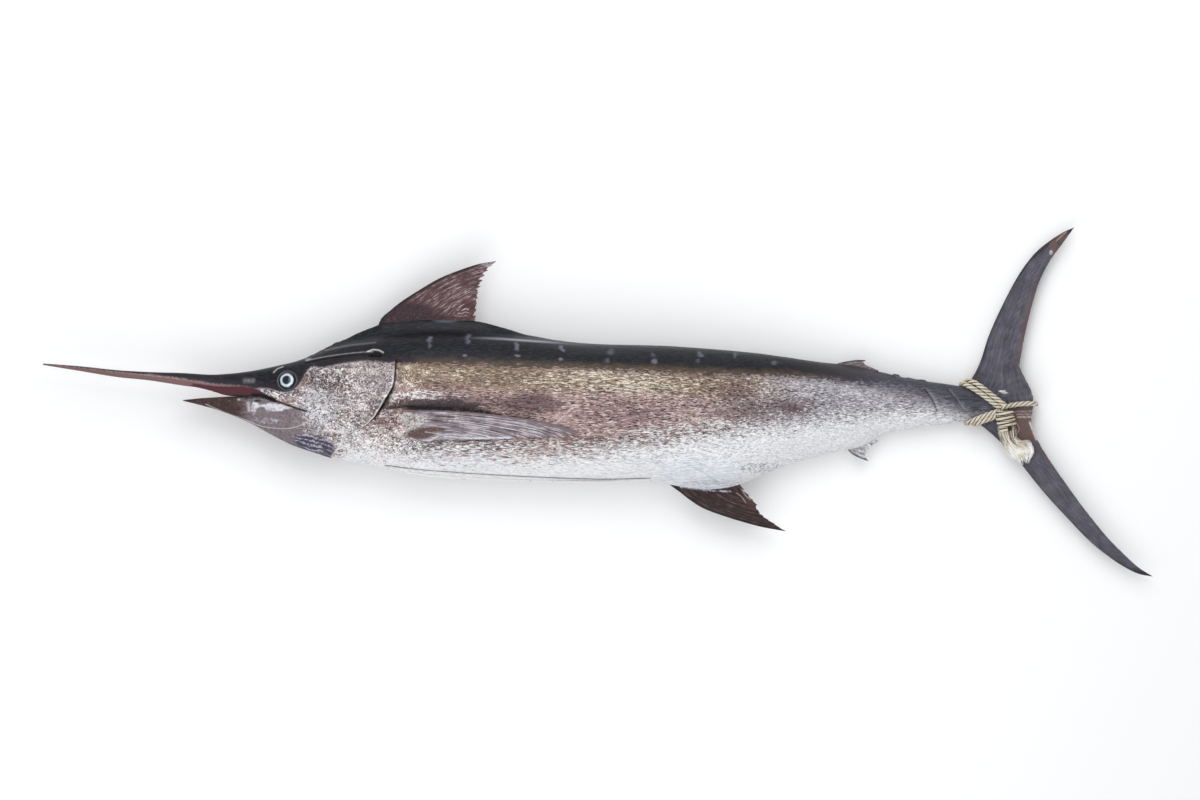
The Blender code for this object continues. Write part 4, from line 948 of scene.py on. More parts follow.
@dataclass
class Skin:
    """The one skin over bill, head, jaw, trunk and tail stock."""

    half_back: int = 96
    half_belly: int = 66
    mouth_width: int = 22
    jaw_bed: float = 0.006
    gill_row: float = 0.76
    gill_window: tuple[float, float] = (0.623, 0.9)
    gill_lift: float = 0.0046
    gill_gap: float = 0.003
    finish: HideFinish = HideFinish()
    gill_edge: Course = Course((
        (-0.1257, 0.6792), (-0.1022, 0.7003), (-0.079, 0.71), (-0.0705, 0.7262), (-0.0611, 0.75),
        (-0.0376, 0.7779), (-0.0141, 0.7943), (0.0071, 0.8061), (0.0259, 0.8178), (0.0423, 0.8249),
        (0.0705, 0.8284), (0.0987, 0.8296), (0.1128, 0.829),
    ))
    back_edge: Course = Course((
        (0.0, 0.088), (0.087, 0.0802), (0.172, 0.0704), (0.251, 0.0634), (0.329, 0.0535),
        (0.404, 0.0425), (0.4747, 0.035), (0.52, 0.03), (0.5757, 0.023), (0.6016, 0.0399),
        (0.6275, 0.08), (0.66, 0.0805), (0.698, 0.0885), (0.731, 0.0935), (0.764, 0.096),
        (0.797, 0.0915), (0.83, 0.09), (0.886, 0.09),
        (0.933, 0.0878), (1.074, 0.0823), (1.215, 0.0776), (1.309, 0.0752), (1.403, 0.0719),
        (1.544, 0.0658), (1.638, 0.0611), (1.779, 0.058), (1.896, 0.048), (2.014, 0.03),
        (2.108, 0.004), (2.1902, -0.0235),
    ))
    belly_edge: Course = Course((
        (0.64, -0.17), (0.69, -0.115), (0.715, -0.088), (0.8037, -0.096), (0.886, -0.115),
        (1.027, -0.118), (1.2149, -0.117), (1.403, -0.0893), (1.544, -0.0705), (1.685, -0.0541),
        (1.8259, -0.0376), (1.9669, -0.0188), (2.0844, -0.015), (2.1902, -0.036),
    ))
    maroon_edge: Course = Course((
        (0.0, 0.089), (0.087, 0.08), (0.172, 0.0695), (0.251, 0.0615), (0.329, 0.052),
        (0.404, 0.0415), (0.428, 0.0405), (0.498, 0.0325), (0.545, 0.006), (0.6, -0.02),
    ))
    pale_share: Course = Course((
        (0.4, 0.25), (0.6, 0.4), (0.72, 0.56), (0.8, 0.52), (0.86, 0.42), (1.0, 0.4), (1.2, 0.5),
        (1.42, 0.62), (1.62, 0.58), (1.8, 0.6), (2.0, 0.62), (2.12, 0.6), (2.25, 0.35),
    ))
    dark_share: Course = Course((
        (0.4, 0.4), (0.62, 0.5), (0.8, 0.5), (0.86, 0.6), (1.0, 0.58), (1.2, 0.5), (1.5, 0.5),
        (1.8, 0.48), (2.0, 0.44), (2.2, 0.46),
    ))

    def rows(self) -> Array:
        """Stations of the rings before they are drawn to the gill opening."""
        spans = (
            (0.0, 0.329, 0.003), (0.329, 0.428, 0.002), (0.428, 0.623, 0.0015), (0.623, 0.755, 0.0015),
            (0.755, 0.76, 0.0008), (0.76, 0.766, 0.0006), (0.766, 0.8, 0.0012), (0.8, 0.9, 0.002),
            (0.9, 1.95, 0.0045), (1.95, 2.268, 0.003),
        )
        parts = [np.linspace(a, b, round((b - a) / step), endpoint=False) for a, b, step in spans]
        return np.concatenate([*parts, [FORM.stock_end]])

    def drawn(self, row: Array, height: Array) -> Array:
        """Stations of ring points, with one row drawn onto the edge of the gill opening."""
        start, end = self.gill_window
        before = np.clip((row - start) / (self.gill_row - start), 0.0, 1.0)
        after = np.clip((end - row) / (end - self.gill_row), 0.0, 1.0)
        return row + np.minimum(before, after) * (self.gill_edge.at(height) - self.gill_row)

    def lip_angle(self, station: Array, upper: bool) -> Array:
        """Where a half ring starts: at the lip, and behind the mouth at the middle of the flank."""
        lip = (FORM.upper_lip if upper else FORM.lower_lip).at(station)
        behind = ease(station, FORM.mouth_corner, FORM.head_end)
        return FORM.angle_at(station, lip + (FORM.level.at(station) - lip) * behind)

    def sheet(self, rows: Array, upper: bool) -> tuple[Array, Array]:
        """Stations and angles of a grid over the back or under the belly.

        Args:
            rows: The rings' stations.
            upper: Over the back, from left lip to right lip, or else under the belly and back.

        Returns:
            Stations and angles, a row for each ring.
        """
        half = self.half_back if upper else self.half_belly
        share = np.linspace(0.0, 2.0, 2 * half + 1)[None, :]
        nearer = np.minimum(share, 2.0 - share)
        row = rows[:, None]
        station = row + 0.0 * share
        for _ in range(8):
            lip = self.lip_angle(station, upper)
            left = lip + (90.0 - lip) * nearer if upper else lip - (90.0 + lip) * nearer
            mirrored = (share > 1.0) if upper else (share < 1.0)
            angle = np.where(mirrored, 180.0 - left, left)
            station = self.drawn(row, FORM.flank(station, angle)[0])
        return station, angle

    def relief(self, points: Array, station: Array, height: Array) -> Array:
        """How far each point stands out from the body's bare shape.

        Args:
            points: Places on the bare surface.
            station: Their stations.
            height: Their heights.

        Returns:
            Lifts in metres, negative where the skin is sunk.
        """
        lift = 0.0009 * SMOOTH.at(points, (0.09, 0.05, 0.05))
        lift += 0.0004 * SMOOTH.at(points, (0.03, 0.012, 0.012))
        lift *= ease(station, 0.4, 0.7)
        past = station - self.gill_edge.at(height)
        shut = 1.0 - ease(height, 0.085, 0.112)
        thick = np.where(height > -0.074, self.gill_lift, 0.6 * self.gill_lift)
        cover = ease(past, -0.105, 0.0) ** 1.5 * thick * shut
        sunk = -self.gill_gap * np.exp(-np.maximum(past, 0.0) / 0.0055) * shut
        lift += np.where(past <= 1e-6, cover, sunk)
        for hand in (1, -1):
            away = EyeSeat(hand).distance(points)
            lift += 0.0014 * hump(away, 0.0232, 0.002) - 0.0016 * hump(away, 0.02, 0.0014)
            lift -= 0.016 * (1.0 - ease(away, 0.006, 0.0188))
        for station_at, height_at in NOSTRILS:
            away = np.hypot(station - station_at, (height - height_at) * 1.15)
            lift += 0.0006 * hump(away, 0.0052, 0.0015) - 0.003 * hump(away, 0.0, 0.003)
        for fold in FOLDS:
            lift += fold.cover(station, height)
        fan, across = self.fan(station, height)
        lift += 0.001 * fan * np.sin(FAN_WAVES * across)
        return lift + self.crest(points, station, height)

    def crest(self, points: Array, station: Array, height: Array) -> Array:
        """Torn skin along the nape, and the ragged ridge behind the second dorsal fin."""
        up = height - FORM.back.at(station)
        top = ease(up, -0.006, 0.001)
        nape = ease(station, 0.612, 0.63) * (1.0 - ease(station, 0.68, 0.72))
        stock = ease(station, 1.945, 1.965) * (1.0 - ease(station, 2.06, 2.1))
        torn = SMOOTH.at(points, (0.008, 0.006, 0.006))
        return top * (0.0022 * nape * torn + 0.006 * stock * np.maximum(torn, -0.1))

    def fan(self, station: Array, height: Array) -> tuple[Array, Array]:
        """The pleated membrane under the cheek.

        Args:
            station: Stations of places on the head.
            height: Their heights.

        Returns:
            How much each place belongs to the membrane, and how far across its rays it is.
        """
        top = -0.059 - 0.2 * (station - 0.58) - 0.4 * np.maximum(station - 0.665, 0.0)
        bottom = FORM.belly.at(station) - 0.002
        across = (top - height) / (top - bottom)
        lengthwise = ease(station, 0.55, 0.645) * (1.0 - ease(station, 0.655, 0.712))
        inside = lengthwise * ease(across, -0.12, 0.4) * (station < self.gill_edge.at(height))
        return inside, across

    def marks(
        self, points: Array, station: Array, height: Array, jaw: Array, inside: Array,
    ) -> dict[str, Array]:
        """The numbers that drive the hide's colours.

        Args:
            points: Places on the skin.
            station: Their stations.
            height: Their heights.
            jaw: 1 on the lower jaw and 0 elsewhere.
            inside: 1 inside the mouth and 0 elsewhere.

        Returns:
            One array for each mark.
        """
        wander = SMOOTH.at(points, (0.03, 0.014, 0.014))
        near = station + 0.006 * wander, height + 0.005 * SMOOTH.at(points + 3.0, (0.03, 0.014, 0.014))
        past = station - self.gill_edge.at(height)
        below = self.back_edge.at(station) - height
        over_eye = np.minimum(EyeSeat(1).distance(points), EyeSeat(-1).distance(points))
        in_head = 1.0 - ease(past, -0.001, 0.003)
        snout = 1.0 - ease(station, 0.545, 0.575)
        band = ease(self.maroon_edge.at(station) - height, -0.0012, 0.0012)
        tan = ease(below, -0.005, 0.006) * (1.0 - ease(below, 0.034, 0.066))
        tan *= ease(station, 0.82, 0.86) * (1.0 - ease(station, 1.55, 1.8))
        fan, across = self.fan(station, height)
        fan = fan * (1.0 - ease(station, 0.64, 0.7) * ease(height, -0.1, -0.08))
        # Painted highlight along the rim of the gill cover.
        rim = hump(past, -0.0022, 0.0011) * (past <= 1e-6) * ease(height, -0.124, -0.1)
        rim *= 1.0 - ease(height, 0.06, 0.1)
        # Painted shade in the gill opening, just behind the cover's edge.
        gape = 0.0036 + 0.009 * hump(height, 0.004, 0.026)
        slit_shade = np.where(past > 1e-6, np.exp(-((np.maximum(past, 0.0) / gape) ** 2)), 0.0)
        slit_shade *= (1.0 - ease(height, 0.092, 0.106)) * ease(height, -0.06, -0.035)
        stock = ease(station, 1.72, 2.02)
        patchy = 0.5 + 0.5 * SMOOTH.at(points, (0.09, 0.03, 0.03))
        # Greyer, with fewer pale flecks, over the upper tail stock by the rope.
        dusk = ease(station, 2.0, 2.2) * ease(height, -0.02, 0.02)
        blush = ease(height - self.belly_edge.at(station), 0.012, 0.036) * (1.0 - ease(station, 1.55, 1.85))
        mauve = laid_on(MAUVE_PATCHES, *near)
        pale = self.pale_share.at(station) - 0.04 * in_head + 0.3 * (patchy - 0.5)
        pale += laid_on(PALE_PATCHES, *near) - 0.45 * mauve - 0.25 * dusk
        dark = self.dark_share.at(station) + 0.06 * in_head - 0.25 * (patchy - 0.5)
        bitten = 0.94 - 0.1 * in_head - 0.06 * tan + 0.5 * laid_on(BITTEN_PATCHES, *near)
        soiled = 0.36 + 0.46 * (1.0 - ease(self.belly_edge.at(station) - height, -0.005, 0.045))
        # Painted highlights on rims, folds and round the orbit, and pale lines of the skin.
        painted_glint_and_pale_line = 0.75 * rim + laid_on(PAINTED_GLINT_AND_PALE_LINES, station, height) + 0.16 * hump(over_eye, 0.0226, 0.0012)
        maroon_rim = hump(self.maroon_edge.at(station) - height, 0.001, 0.004)
        return {
            "blush": blush * ease(past, 0.05, 0.2) * 0.9,
            "short": 1.0 - ease(station, 0.83, 0.95),
            "back_depth": 100.0 * (below - 0.012 * stock),
            "belly_depth": 100.0 * (self.belly_edge.at(station) - height),
            "soft": stock,
            "tan": np.clip(tan + laid_on(TAN_PATCHES, *near), 0.0, 1.0),
            "grey": np.clip(ease(station, 1.5, 1.85) + dusk, 0.0, 1.0),
            "cheek": in_head * ease(station, 0.56, 0.64),
            "mauve": mauve,
            "blood": laid_on(BLOOD_PATCHES, *near),
            "frost": laid_on(FROST_PATCHES, *near),
            "pale": pale,
            "dark": dark + laid_on(DARK_PATCHES, *near),
            "etch": 0.85 - 0.1 * tan - 0.3 * ease(station, 1.6, 1.95),
            "bite": np.clip(bitten, 0.0, 1.0),
            "haze": laid_on(HAZE_PATCHES, *near),
            "dusk": np.clip(laid_on(DUSK_PATCHES, *near), 0.0, 0.95),
            "curls": 0.12 + 0.22 * in_head + 0.5 * laid_on(CURL_PATCHES, *near),
            "lines": 0.12 + 0.42 * ease(station, 1.05, 1.6) - 0.12 * in_head,
            "dirt": soiled + laid_on(DIRT_PATCHES, *near),
            # Pale dots in bars, and a painted highlight along the dorsal fin's sheath.
            "bar_dots_and_sheath_highlight": laid_on(BAR_DOTS_AND_SHEATH_HIGHLIGHT, *near),
            # A painted highlight along the top edge of the back, faded at its ends.
            "painted_sheen": laid_on(PAINTED_SHEEN, station, height) * hump(station, 1.13, 0.085),
            "maroon": ease(station, 0.3, 0.4),
            "maroon_rim": maroon_rim * (1.0 - 0.6 * ease(station, 0.42, 0.47)),
            "band": band * snout * (1.0 - jaw) * (1.0 - inside),
            "lilac": laid_on(LILAC_PATCHES, *near) - laid_on(JAW_SPOTS, *near),
            "jaw": ease(station, 0.4, 0.47) * (1.0 - ease(station, 0.575, 0.655)) * jaw,
            "jaw_tip": jaw * (1.0 - ease(station, 0.425, 0.525)),
            "fan": fan,
            "fan_across": across,
            "orbit": 1.0 - ease(over_eye, 0.0235, 0.0275),
            "inside": inside,
            # Painted shade, and a few dark lines of the skin.
            "painted_shade_and_dark_line": np.clip(slit_shade + laid_on(PAINTED_SHADE_AND_DARK_LINES, station, height), 0.0, 1.0),
            # Painted highlights, and pale lines of the skin.
            "painted_glint_and_pale_line": np.clip(painted_glint_and_pale_line, 0.0, 1.0),
            "gloss": ease(-below, -0.004, 0.01) * 0.9 + 0.1 + 0.3 * inside,
        }

    def build(self) -> None:
        """Makes the skin and dresses it."""
        rows = self.rows()
        corner = int(np.argmin(np.abs(rows - FORM.mouth_corner)))
        jaw_rows = np.concatenate([[FORM.jaw_tip + 0.0004], rows[rows > FORM.jaw_tip + 0.001]])
        jaw_corner = int(np.argmin(np.abs(jaw_rows - FORM.mouth_corner)))
        grids = []
        for stations, upper in ((rows, True), (jaw_rows, False)):
            station, angle = self.sheet(stations, upper)
            height, _ = FORM.flank(station, angle)
            place = FORM.on_skin(station, angle)
            out = np.cross(np.gradient(place, axis=0), np.gradient(place, axis=1))
            out /= np.maximum(np.linalg.norm(out, axis=-1, keepdims=True), 1e-12)
            place = place + out * self.relief(place, station, height)[..., None]
            place[..., 2] = np.maximum(place[..., 2], 0.0)
            grids.append((place, station, height))
        (back, *_), (belly, *_) = grids
        arches = self.arches(back, belly, rows[: corner + 1], jaw_rows[: jaw_corner + 1])
        self.cast(grids, arches, corner, jaw_corner)

    def arches(
        self, back: Array, belly: Array, rows: Array, jaw_rows: Array,
    ) -> list[tuple[Array, Array, Array]]:
        """The roof and floor of the mouth, between the lips.

        Args:
            back: The grid over the back.
            belly: The grid under the belly.
            rows: Stations of the rings of the bill and upper jaw.
            jaw_rows: Stations of the rings of the lower jaw.

        Returns:
            Points, stations and heights of the roof and of the floor.
        """
        turn = np.pi * np.arange(1, self.mouth_width + 1) / (self.mouth_width + 1)
        made = []
        for grid, stations, roof in ((back, rows, True), (belly, jaw_rows, False)):
            lip = grid[: len(stations)]
            first, last = lip[:, -1], lip[:, 0]
            middle, half = (first + last) / 2.0, (last - first) / 2.0
            if roof:
                arch = FORM.palate.at(stations) - middle[:, 1]
            else:
                arch = -np.minimum(self.jaw_bed, 0.35 * (middle[:, 1] - FORM.belly.at(stations)))
            place = middle[:, None] - np.cos(turn)[None, :, None] * half[:, None]
            place[..., 1] += arch[:, None] * np.sin(turn)[None, :]
            made.append((place, stations[:, None] + 0.0 * turn, place[..., 1].copy()))
        return made

    def cast(self, grids: list, arches: list, corner: int, jaw_corner: int) -> None:
        """Joins the grids into one closed mesh.

        Args:
            grids: Points, stations and heights over the back and under the belly.
            arches: The same for the mouth's roof and floor.
            corner: The row of the mouth's corner over the back.
            jaw_corner: The row of the mouth's corner under the belly.
        """
        count = 0
        numbers = []
        for place, _, height in (*grids, *arches):
            numbers.append(np.arange(height.size).reshape(height.shape) + count)
            count += height.size
        over, under, roof, bed = numbers
        under[jaw_corner:, 0] = over[corner:, -1]
        under[jaw_corner:, -1] = over[corner:, 0]
        roof_full = np.hstack([over[: corner + 1, -1:], roof, over[: corner + 1, :1]])
        bed_full = np.hstack([under[: jaw_corner + 1, -1:], bed, under[: jaw_corner + 1, :1]])
        quads = [woven(over), woven(under), woven(roof_full), woven(bed_full)]
        top, bottom = roof_full[-1], bed_full[-1][::-1]
        quads.append(np.stack([top[1:-2], bottom[1:-2], bottom[2:-1], top[2:-1]], axis=-1))
        tris = [[top[0], bottom[1], top[1]], [top[-2], bottom[-2], top[-1]]]
        tip = np.concatenate([over[0], roof[0]])
        jaw_front = np.concatenate([under[0], bed[0]])
        stock = np.concatenate([over[-1], under[-1, 1:-1]])
        points, station, height = (
            np.concatenate([part.reshape(-1, *part.shape[2:]) for part in parts])
            for parts in zip(*grids, *arches)
        )
        for ring, rearward in ((tip, False), (jaw_front, False), (stock, True)):
            hub = len(points)
            points = np.vstack([points, points[ring].mean(axis=0)])
            station = np.append(station, station[ring].mean())
            height = np.append(height, height[ring].mean())
            following = np.roll(ring, -1)
            pairs = (following, ring) if rearward else (ring, following)
            tris += [[a, b, hub] for a, b in zip(*pairs)]
        jaw = np.zeros(len(points))
        inside = np.zeros(len(points))
        jaw[under[: jaw_corner + 1, 1:-1].ravel()] = 1.0
        jaw[bed.ravel()] = 1.0
        jaw[under[: jaw_corner, 0]] = jaw[under[: jaw_corner, -1]] = 1.0
        jaw *= 1.0 - 0.999 * ease(station, 0.6, 0.63)
        inside[roof.ravel()] = ease(station[roof.ravel()], 0.3, 0.36)
        inside[bed.ravel()] = 1.0
        corners = np.concatenate([np.concatenate(quads).ravel(), np.ravel(tris)])
        used, compact = np.unique(corners, return_inverse=True)
        edge = sum(len(q) for q in quads) * 4
        mould = Mould()
        mould.add(
            points[used], compact[:edge].reshape(-1, 4), compact[edge:].reshape(-1, 3),
            self.marks(points[used], station[used], height[used], jaw[used], inside[used]),
        )
        piece = mould.cast("marlin_skin", self.finish.material())
        settle(
            piece, "skin", "bill", "head", "lower_jaw", "gill_cover_left", "gill_cover_right",
            "throat_flap_left", "throat_flap_right", "trunk_front", "trunk_middle", "trunk_rear",
            "tail_stock",
        )


# Folds, lines and patches of the hide, by station and height. Each patch has its length, its depth and
# its strength, and each line its width and its strength. A fold's strength is its height in metres.
SMOOTH = Lattice(11)
NOSTRILS = ((0.477, 0.05), (0.4895, 0.052))
FAN_WAVES = 32.0
BAR_DOTS_AND_SHEATH_HIGHLIGHT = (
    Patch(0.908, 0.148, 0.006, 0.01, 0.7), Patch(0.907, 0.13, 0.004, 0.008, 0.5),
    Patch(0.999, 0.153, 0.006, 0.007, 0.7), Patch(0.998, 0.141, 0.005, 0.006, 0.6),
    Patch(0.996, 0.108, 0.004, 0.003, 1.3), Patch(1.116, 0.132, 0.005, 0.01, 0.7),
    Patch(1.112, 0.111, 0.004, 0.0035, 1.5), Patch(1.119, 0.11, 0.002, 0.003, 1.2),
    Patch(1.221, 0.125, 0.005, 0.008, 0.8), Patch(1.215, 0.097, 0.005, 0.004, 0.9),
    Patch(1.332, 0.118, 0.008, 0.01, 0.4), Patch(1.328, 0.099, 0.006, 0.006, 0.4),
    Patch(1.438, 0.097, 0.006, 0.005, 0.8), Patch(1.434, 0.11, 0.005, 0.006, 0.4),
    Patch(1.544, 0.111, 0.007, 0.006, 0.6), Patch(1.54, 0.095, 0.005, 0.005, 0.3),
    Patch(1.626, 0.11, 0.004, 0.005, 0.5), Patch(1.716, 0.092, 0.006, 0.006, 0.5),
    # The last two patches are a painted highlight along the top of the dorsal fin's sheath.
    Patch(0.885, 0.199, 0.034, 0.007, 0.6), Patch(0.95, 0.193, 0.034, 0.006, 0.5),
)
# A painted highlight along the top edge of the back.
PAINTED_SHEEN = (Trace(((0.95, 0.15), (1.05, 0.1486), (1.149, 0.1432), (1.3, 0.132)), 0.0024, 0.75),)
NAPE = ((0.6204, 0.0968), (0.6627, 0.1058), (0.7215, 0.114), (0.7764, 0.1189))
NAPE_UNDER = ((0.622, 0.0925), (0.665, 0.1015), (0.723, 0.1095), (0.77, 0.1135))
HIGH_NAPE = ((0.6651, 0.1203), (0.7215, 0.1316), (0.7826, 0.1391))
POCKET_RIM = ((0.764, 0.1178), (0.7764, 0.1222), (0.792, 0.1208), (0.8014, 0.1156))
BROW = ((0.5429, 0.0682), (0.5523, 0.0764), (0.5654, 0.0815))
MANDIBLE = (
    (0.3831, -0.0047), (0.4277, -0.0235), (0.476, -0.041), (0.509, -0.0545), (0.537, -0.0602),
    (0.572, -0.0622), (0.596, -0.058), (0.618, -0.0485), (0.635, -0.0335),
)
JAW_FOLD = ((0.59, -0.06), (0.63, -0.064), (0.664, -0.07), (0.696, -0.076))
PREOPERCLE = ((0.7163, 0.0376), (0.7163, 0.0188), (0.7121, 0.0), (0.6925, -0.0207), (0.6627, -0.0329))
MOUTH_FOLD = ((0.5452, 0.006), (0.5805, -0.0065), (0.611, -0.0165), (0.642, -0.025))
GROOVE = ((0.8037, -0.1504), (0.9094, -0.1622), (1.121, -0.1763), (1.309, -0.1833), (1.4264, -0.1809))
FRONT_CREASE = ((2.073, 0.03), (2.085, 0.013), (2.095, -0.005), (2.1009, -0.022))
REAR_CREASE = ((2.127, 0.03), (2.145, 0.008), (2.16, -0.015), (2.171, -0.026))
FIN_FOLD = ((0.8, -0.021), (0.825, -0.025), (0.86, -0.023))
FOLDS = (
    Trace(NAPE, 0.002, 0.001), Trace(NAPE_UNDER, 0.0026, -0.0022), Trace(HIGH_NAPE, 0.003, 0.001),
    Trace(POCKET_RIM, 0.0024, 0.0022), Trace(((0.772, 0.1125), (0.793, 0.112)), 0.0065, -0.006),
    Trace(BROW, 0.003, 0.002), Trace(MANDIBLE, 0.0022, 0.0011), Trace(PREOPERCLE, 0.0024, 0.0012),
    Trace(((0.7205, 0.0376), (0.7205, 0.0188), (0.716, -0.002), (0.696, -0.024)), 0.003, -0.001),
    Trace(MOUTH_FOLD, 0.0022, 0.0008), Trace(GROOVE, 0.003, -0.0026),
    Trace(FRONT_CREASE, 0.0022, -0.0016), Trace(REAR_CREASE, 0.002, -0.001), Trace(FIN_FOLD, 0.006, 0.0035),
)
# Painted shade in the nape's pocket and under its fold, in the belly groove, the jaw's fold and the tail
# stock's creases, in the mouth and nostrils, and above and below the pectoral fin. A few thin lines on the
# belly and along the flank are dark lines of the skin.
PAINTED_SHADE_AND_DARK_LINES = (
    Trace(((0.773, 0.113), (0.792, 0.1125)), 0.005, 0.95), Trace(NAPE_UNDER, 0.002, 0.6),
    Trace(GROOVE, 0.0013, 0.8), Trace(FRONT_CREASE, 0.0016, 0.9), Trace(REAR_CREASE, 0.0014, 0.55),
    Trace(((0.428, 0.013), (0.47, 0.013), (0.52, 0.011), (0.545, 0.004)), 0.003, 1.0),
    Trace(((0.495, 0.017), (0.52, 0.0145), (0.545, 0.005)), 0.0048, 1.0),
    Trace(((0.54, 0.0055), (0.566, -0.004), (0.595, -0.014), (0.62, -0.0215)), 0.0026, 1.0),
    Trace(((0.477, 0.05), (0.4772, 0.0502)), 0.0022, 0.8),
    Trace(((0.4895, 0.052), (0.4897, 0.0522)), 0.0022, 0.8),
    Trace(((0.866, -0.0125), (0.93, -0.014), (1.0, -0.019), (1.05, -0.0245)), 0.006, 0.95),
    Trace(((0.812, -0.015), (0.85, -0.011), (0.885, -0.013)), 0.003, 0.75),
    Trace(((0.5, 0.003), (0.512, 0.0025)), 0.0028, 0.9), Trace(JAW_FOLD, 0.0018, 0.35),
    Trace(((1.06, -0.0265), (1.105, -0.0325), (1.15, -0.04)), 0.0026, 0.6),
    Trace(((0.93, -0.092), (0.98, -0.091), (1.07, -0.0895)), 0.0013, 0.55),
    Trace(((0.835, -0.076), (0.848, -0.087), (0.864, -0.09), (0.884, -0.086)), 0.0014, 0.45),
    Trace(((0.845, -0.1), (0.868, -0.14)), 0.001, 0.3), Trace(((0.85, -0.098), (0.884, -0.138)), 0.001, 0.3),
    Trace(((0.856, -0.098), (0.9, -0.134)), 0.001, 0.25),
    Trace(((1.403, 0.0235), (1.544, 0.0188), (1.685, 0.0118)), 0.0012, 0.45),
    Trace(((1.5, -0.14), (1.56, -0.17), (1.59, -0.192)), 0.0014, 0.25),
)
# Mostly painted highlights along the folds and rims of the head, the creases of the tail stock and the
# pectoral fin's fold. The strokes on the front of the belly, the drips and scratches near the tip of the
# pectoral fin and the line along the flank are pale marks of the skin.
PAINTED_GLINT_AND_PALE_LINES = (
    Trace(NAPE, 0.0008, 0.4), Trace(HIGH_NAPE, 0.002, 0.12), Trace(POCKET_RIM, 0.001, 0.95),
    Trace(((2.08, 0.029), (2.092, 0.013), (2.102, -0.004), (2.108, -0.02)), 0.0016, 0.12),
    Trace(((2.133, 0.028), (2.151, 0.006), (2.166, -0.016)), 0.002, 0.09),
    Trace(BROW, 0.0009, 0.75), Trace(MANDIBLE, 0.0009, 0.6), Trace(PREOPERCLE, 0.001, 0.45),
    Trace(((0.619, 0.0985), (0.628, 0.101)), 0.0022, 0.35), Trace(JAW_FOLD, 0.0008, 0.4),
    Trace(((0.476, 0.05), (0.494, 0.05)), 0.0052, 0.2),
    Trace(((0.483, -0.003), (0.485, -0.02)), 0.0032, 0.55),
    Trace(((0.46, 0.006), (0.4625, 0.0055)), 0.0022, 0.55),
    Trace(((0.508, 0.033), (0.54, 0.029), (0.58, 0.012), (0.61, 0.0)), 0.0012, 0.3),
    Trace(((0.814, -0.02), (0.84, -0.018), (0.88, -0.023)), 0.0012, 0.45),
    Trace(((0.713, -0.076), (0.7003, -0.1022), (0.6792, -0.1257)), 0.0018, 0.75),
    Trace(((0.834, -0.106), (0.827, -0.148)), 0.0016, 0.55),
    Trace(((1.194, -0.084), (1.196, -0.113)), 0.0024, 0.7),
    Trace(((1.208, -0.084), (1.217, -0.118)), 0.0026, 0.75),
    Trace(((1.206, -0.05), (1.248, -0.009)), 0.0009, 0.5),
    Trace(((1.208, -0.048), (1.17, -0.013)), 0.0008, 0.35),
    Trace(((1.39, -0.012), (1.52, -0.019), (1.6, -0.013), (1.64, -0.006)), 0.0009, 0.3),
)
PALE_PATCHES = (
    Patch(0.91, 0.014, 0.1, 0.012, 0.5), Patch(1.0, -0.1, 0.17, 0.02, 0.34),
    Patch(0.86, -0.09, 0.06, 0.03, 0.25), Patch(0.625, 0.002, 0.04, 0.03, 0.2),
    Patch(1.56, -0.07, 0.2, 0.03, 0.15), Patch(0.545, 0.024, 0.05, 0.01, 0.25),
    Patch(1.3, 0.05, 0.18, 0.03, 0.12), Patch(0.74, 0.045, 0.07, 0.034, -0.22),
)
BITTEN_PATCHES = (
    Patch(0.675, 0.056, 0.045, 0.026, 0.9), Patch(0.65, -0.042, 0.07, 0.03, 0.8),
    Patch(0.56, 0.022, 0.06, 0.016, 0.6), Patch(0.77, -0.06, 0.06, 0.03, 0.5),
)
HAZE_PATCHES = (
    Patch(0.65, -0.008, 0.05, 0.05, 0.9), Patch(0.79, 0.05, 0.04, 0.04, 0.15),
    Patch(0.7, -0.076, 0.07, 0.016, 0.45), Patch(0.76, 0.08, 0.05, 0.016, 0.3),
)
# Dark patches of the skin; the last, just above the folded pectoral fin, is partly painted shade.
DUSK_PATCHES = (
    Patch(0.53, 0.026, 0.044, 0.016, 1.0), Patch(0.575, 0.022, 0.03, 0.014, 0.65),
    Patch(0.505, 0.033, 0.034, 0.008, 0.7), Patch(0.8, -0.008, 0.034, 0.016, 0.6),
    Patch(0.96, -0.01, 0.095, 0.009, 0.75),
)
CURL_PATCHES = (
    Patch(0.655, -0.042, 0.075, 0.03, 0.9), Patch(0.76, -0.07, 0.06, 0.03, 0.8),
    Patch(0.76, 0.02, 0.06, 0.03, 0.5), Patch(0.67, 0.05, 0.05, 0.026, 0.7),
    Patch(1.0, -0.1, 0.15, 0.02, 0.6), Patch(0.92, 0.0, 0.09, 0.016, 0.7),
    Patch(0.545, 0.01, 0.05, 0.03, 0.5),
)
DARK_PATCHES = (
    Patch(0.925, -0.006, 0.11, 0.011, 0.6), Patch(0.985, 0.06, 0.17, 0.024, 0.1),
    Patch(1.0, -0.1, 0.19, 0.016, 0.2), Patch(1.1, -0.015, 0.1, 0.022, 0.15),
    Patch(0.67, 0.054, 0.05, 0.03, 0.25), Patch(1.69, -0.156, 0.05, 0.012, 0.6),
    Patch(1.3, 0.05, 0.2, 0.03, 0.1),
)
DIRT_PATCHES = (
    Patch(1.69, -0.156, 0.05, 0.012, 1.6), Patch(1.58, -0.19, 0.06, 0.01, 0.6),
    Patch(1.45, -0.115, 0.26, 0.034, 0.25),
)
TAN_PATCHES = (Patch(0.7755, 0.0799, 0.06, 0.022, 0.6),)
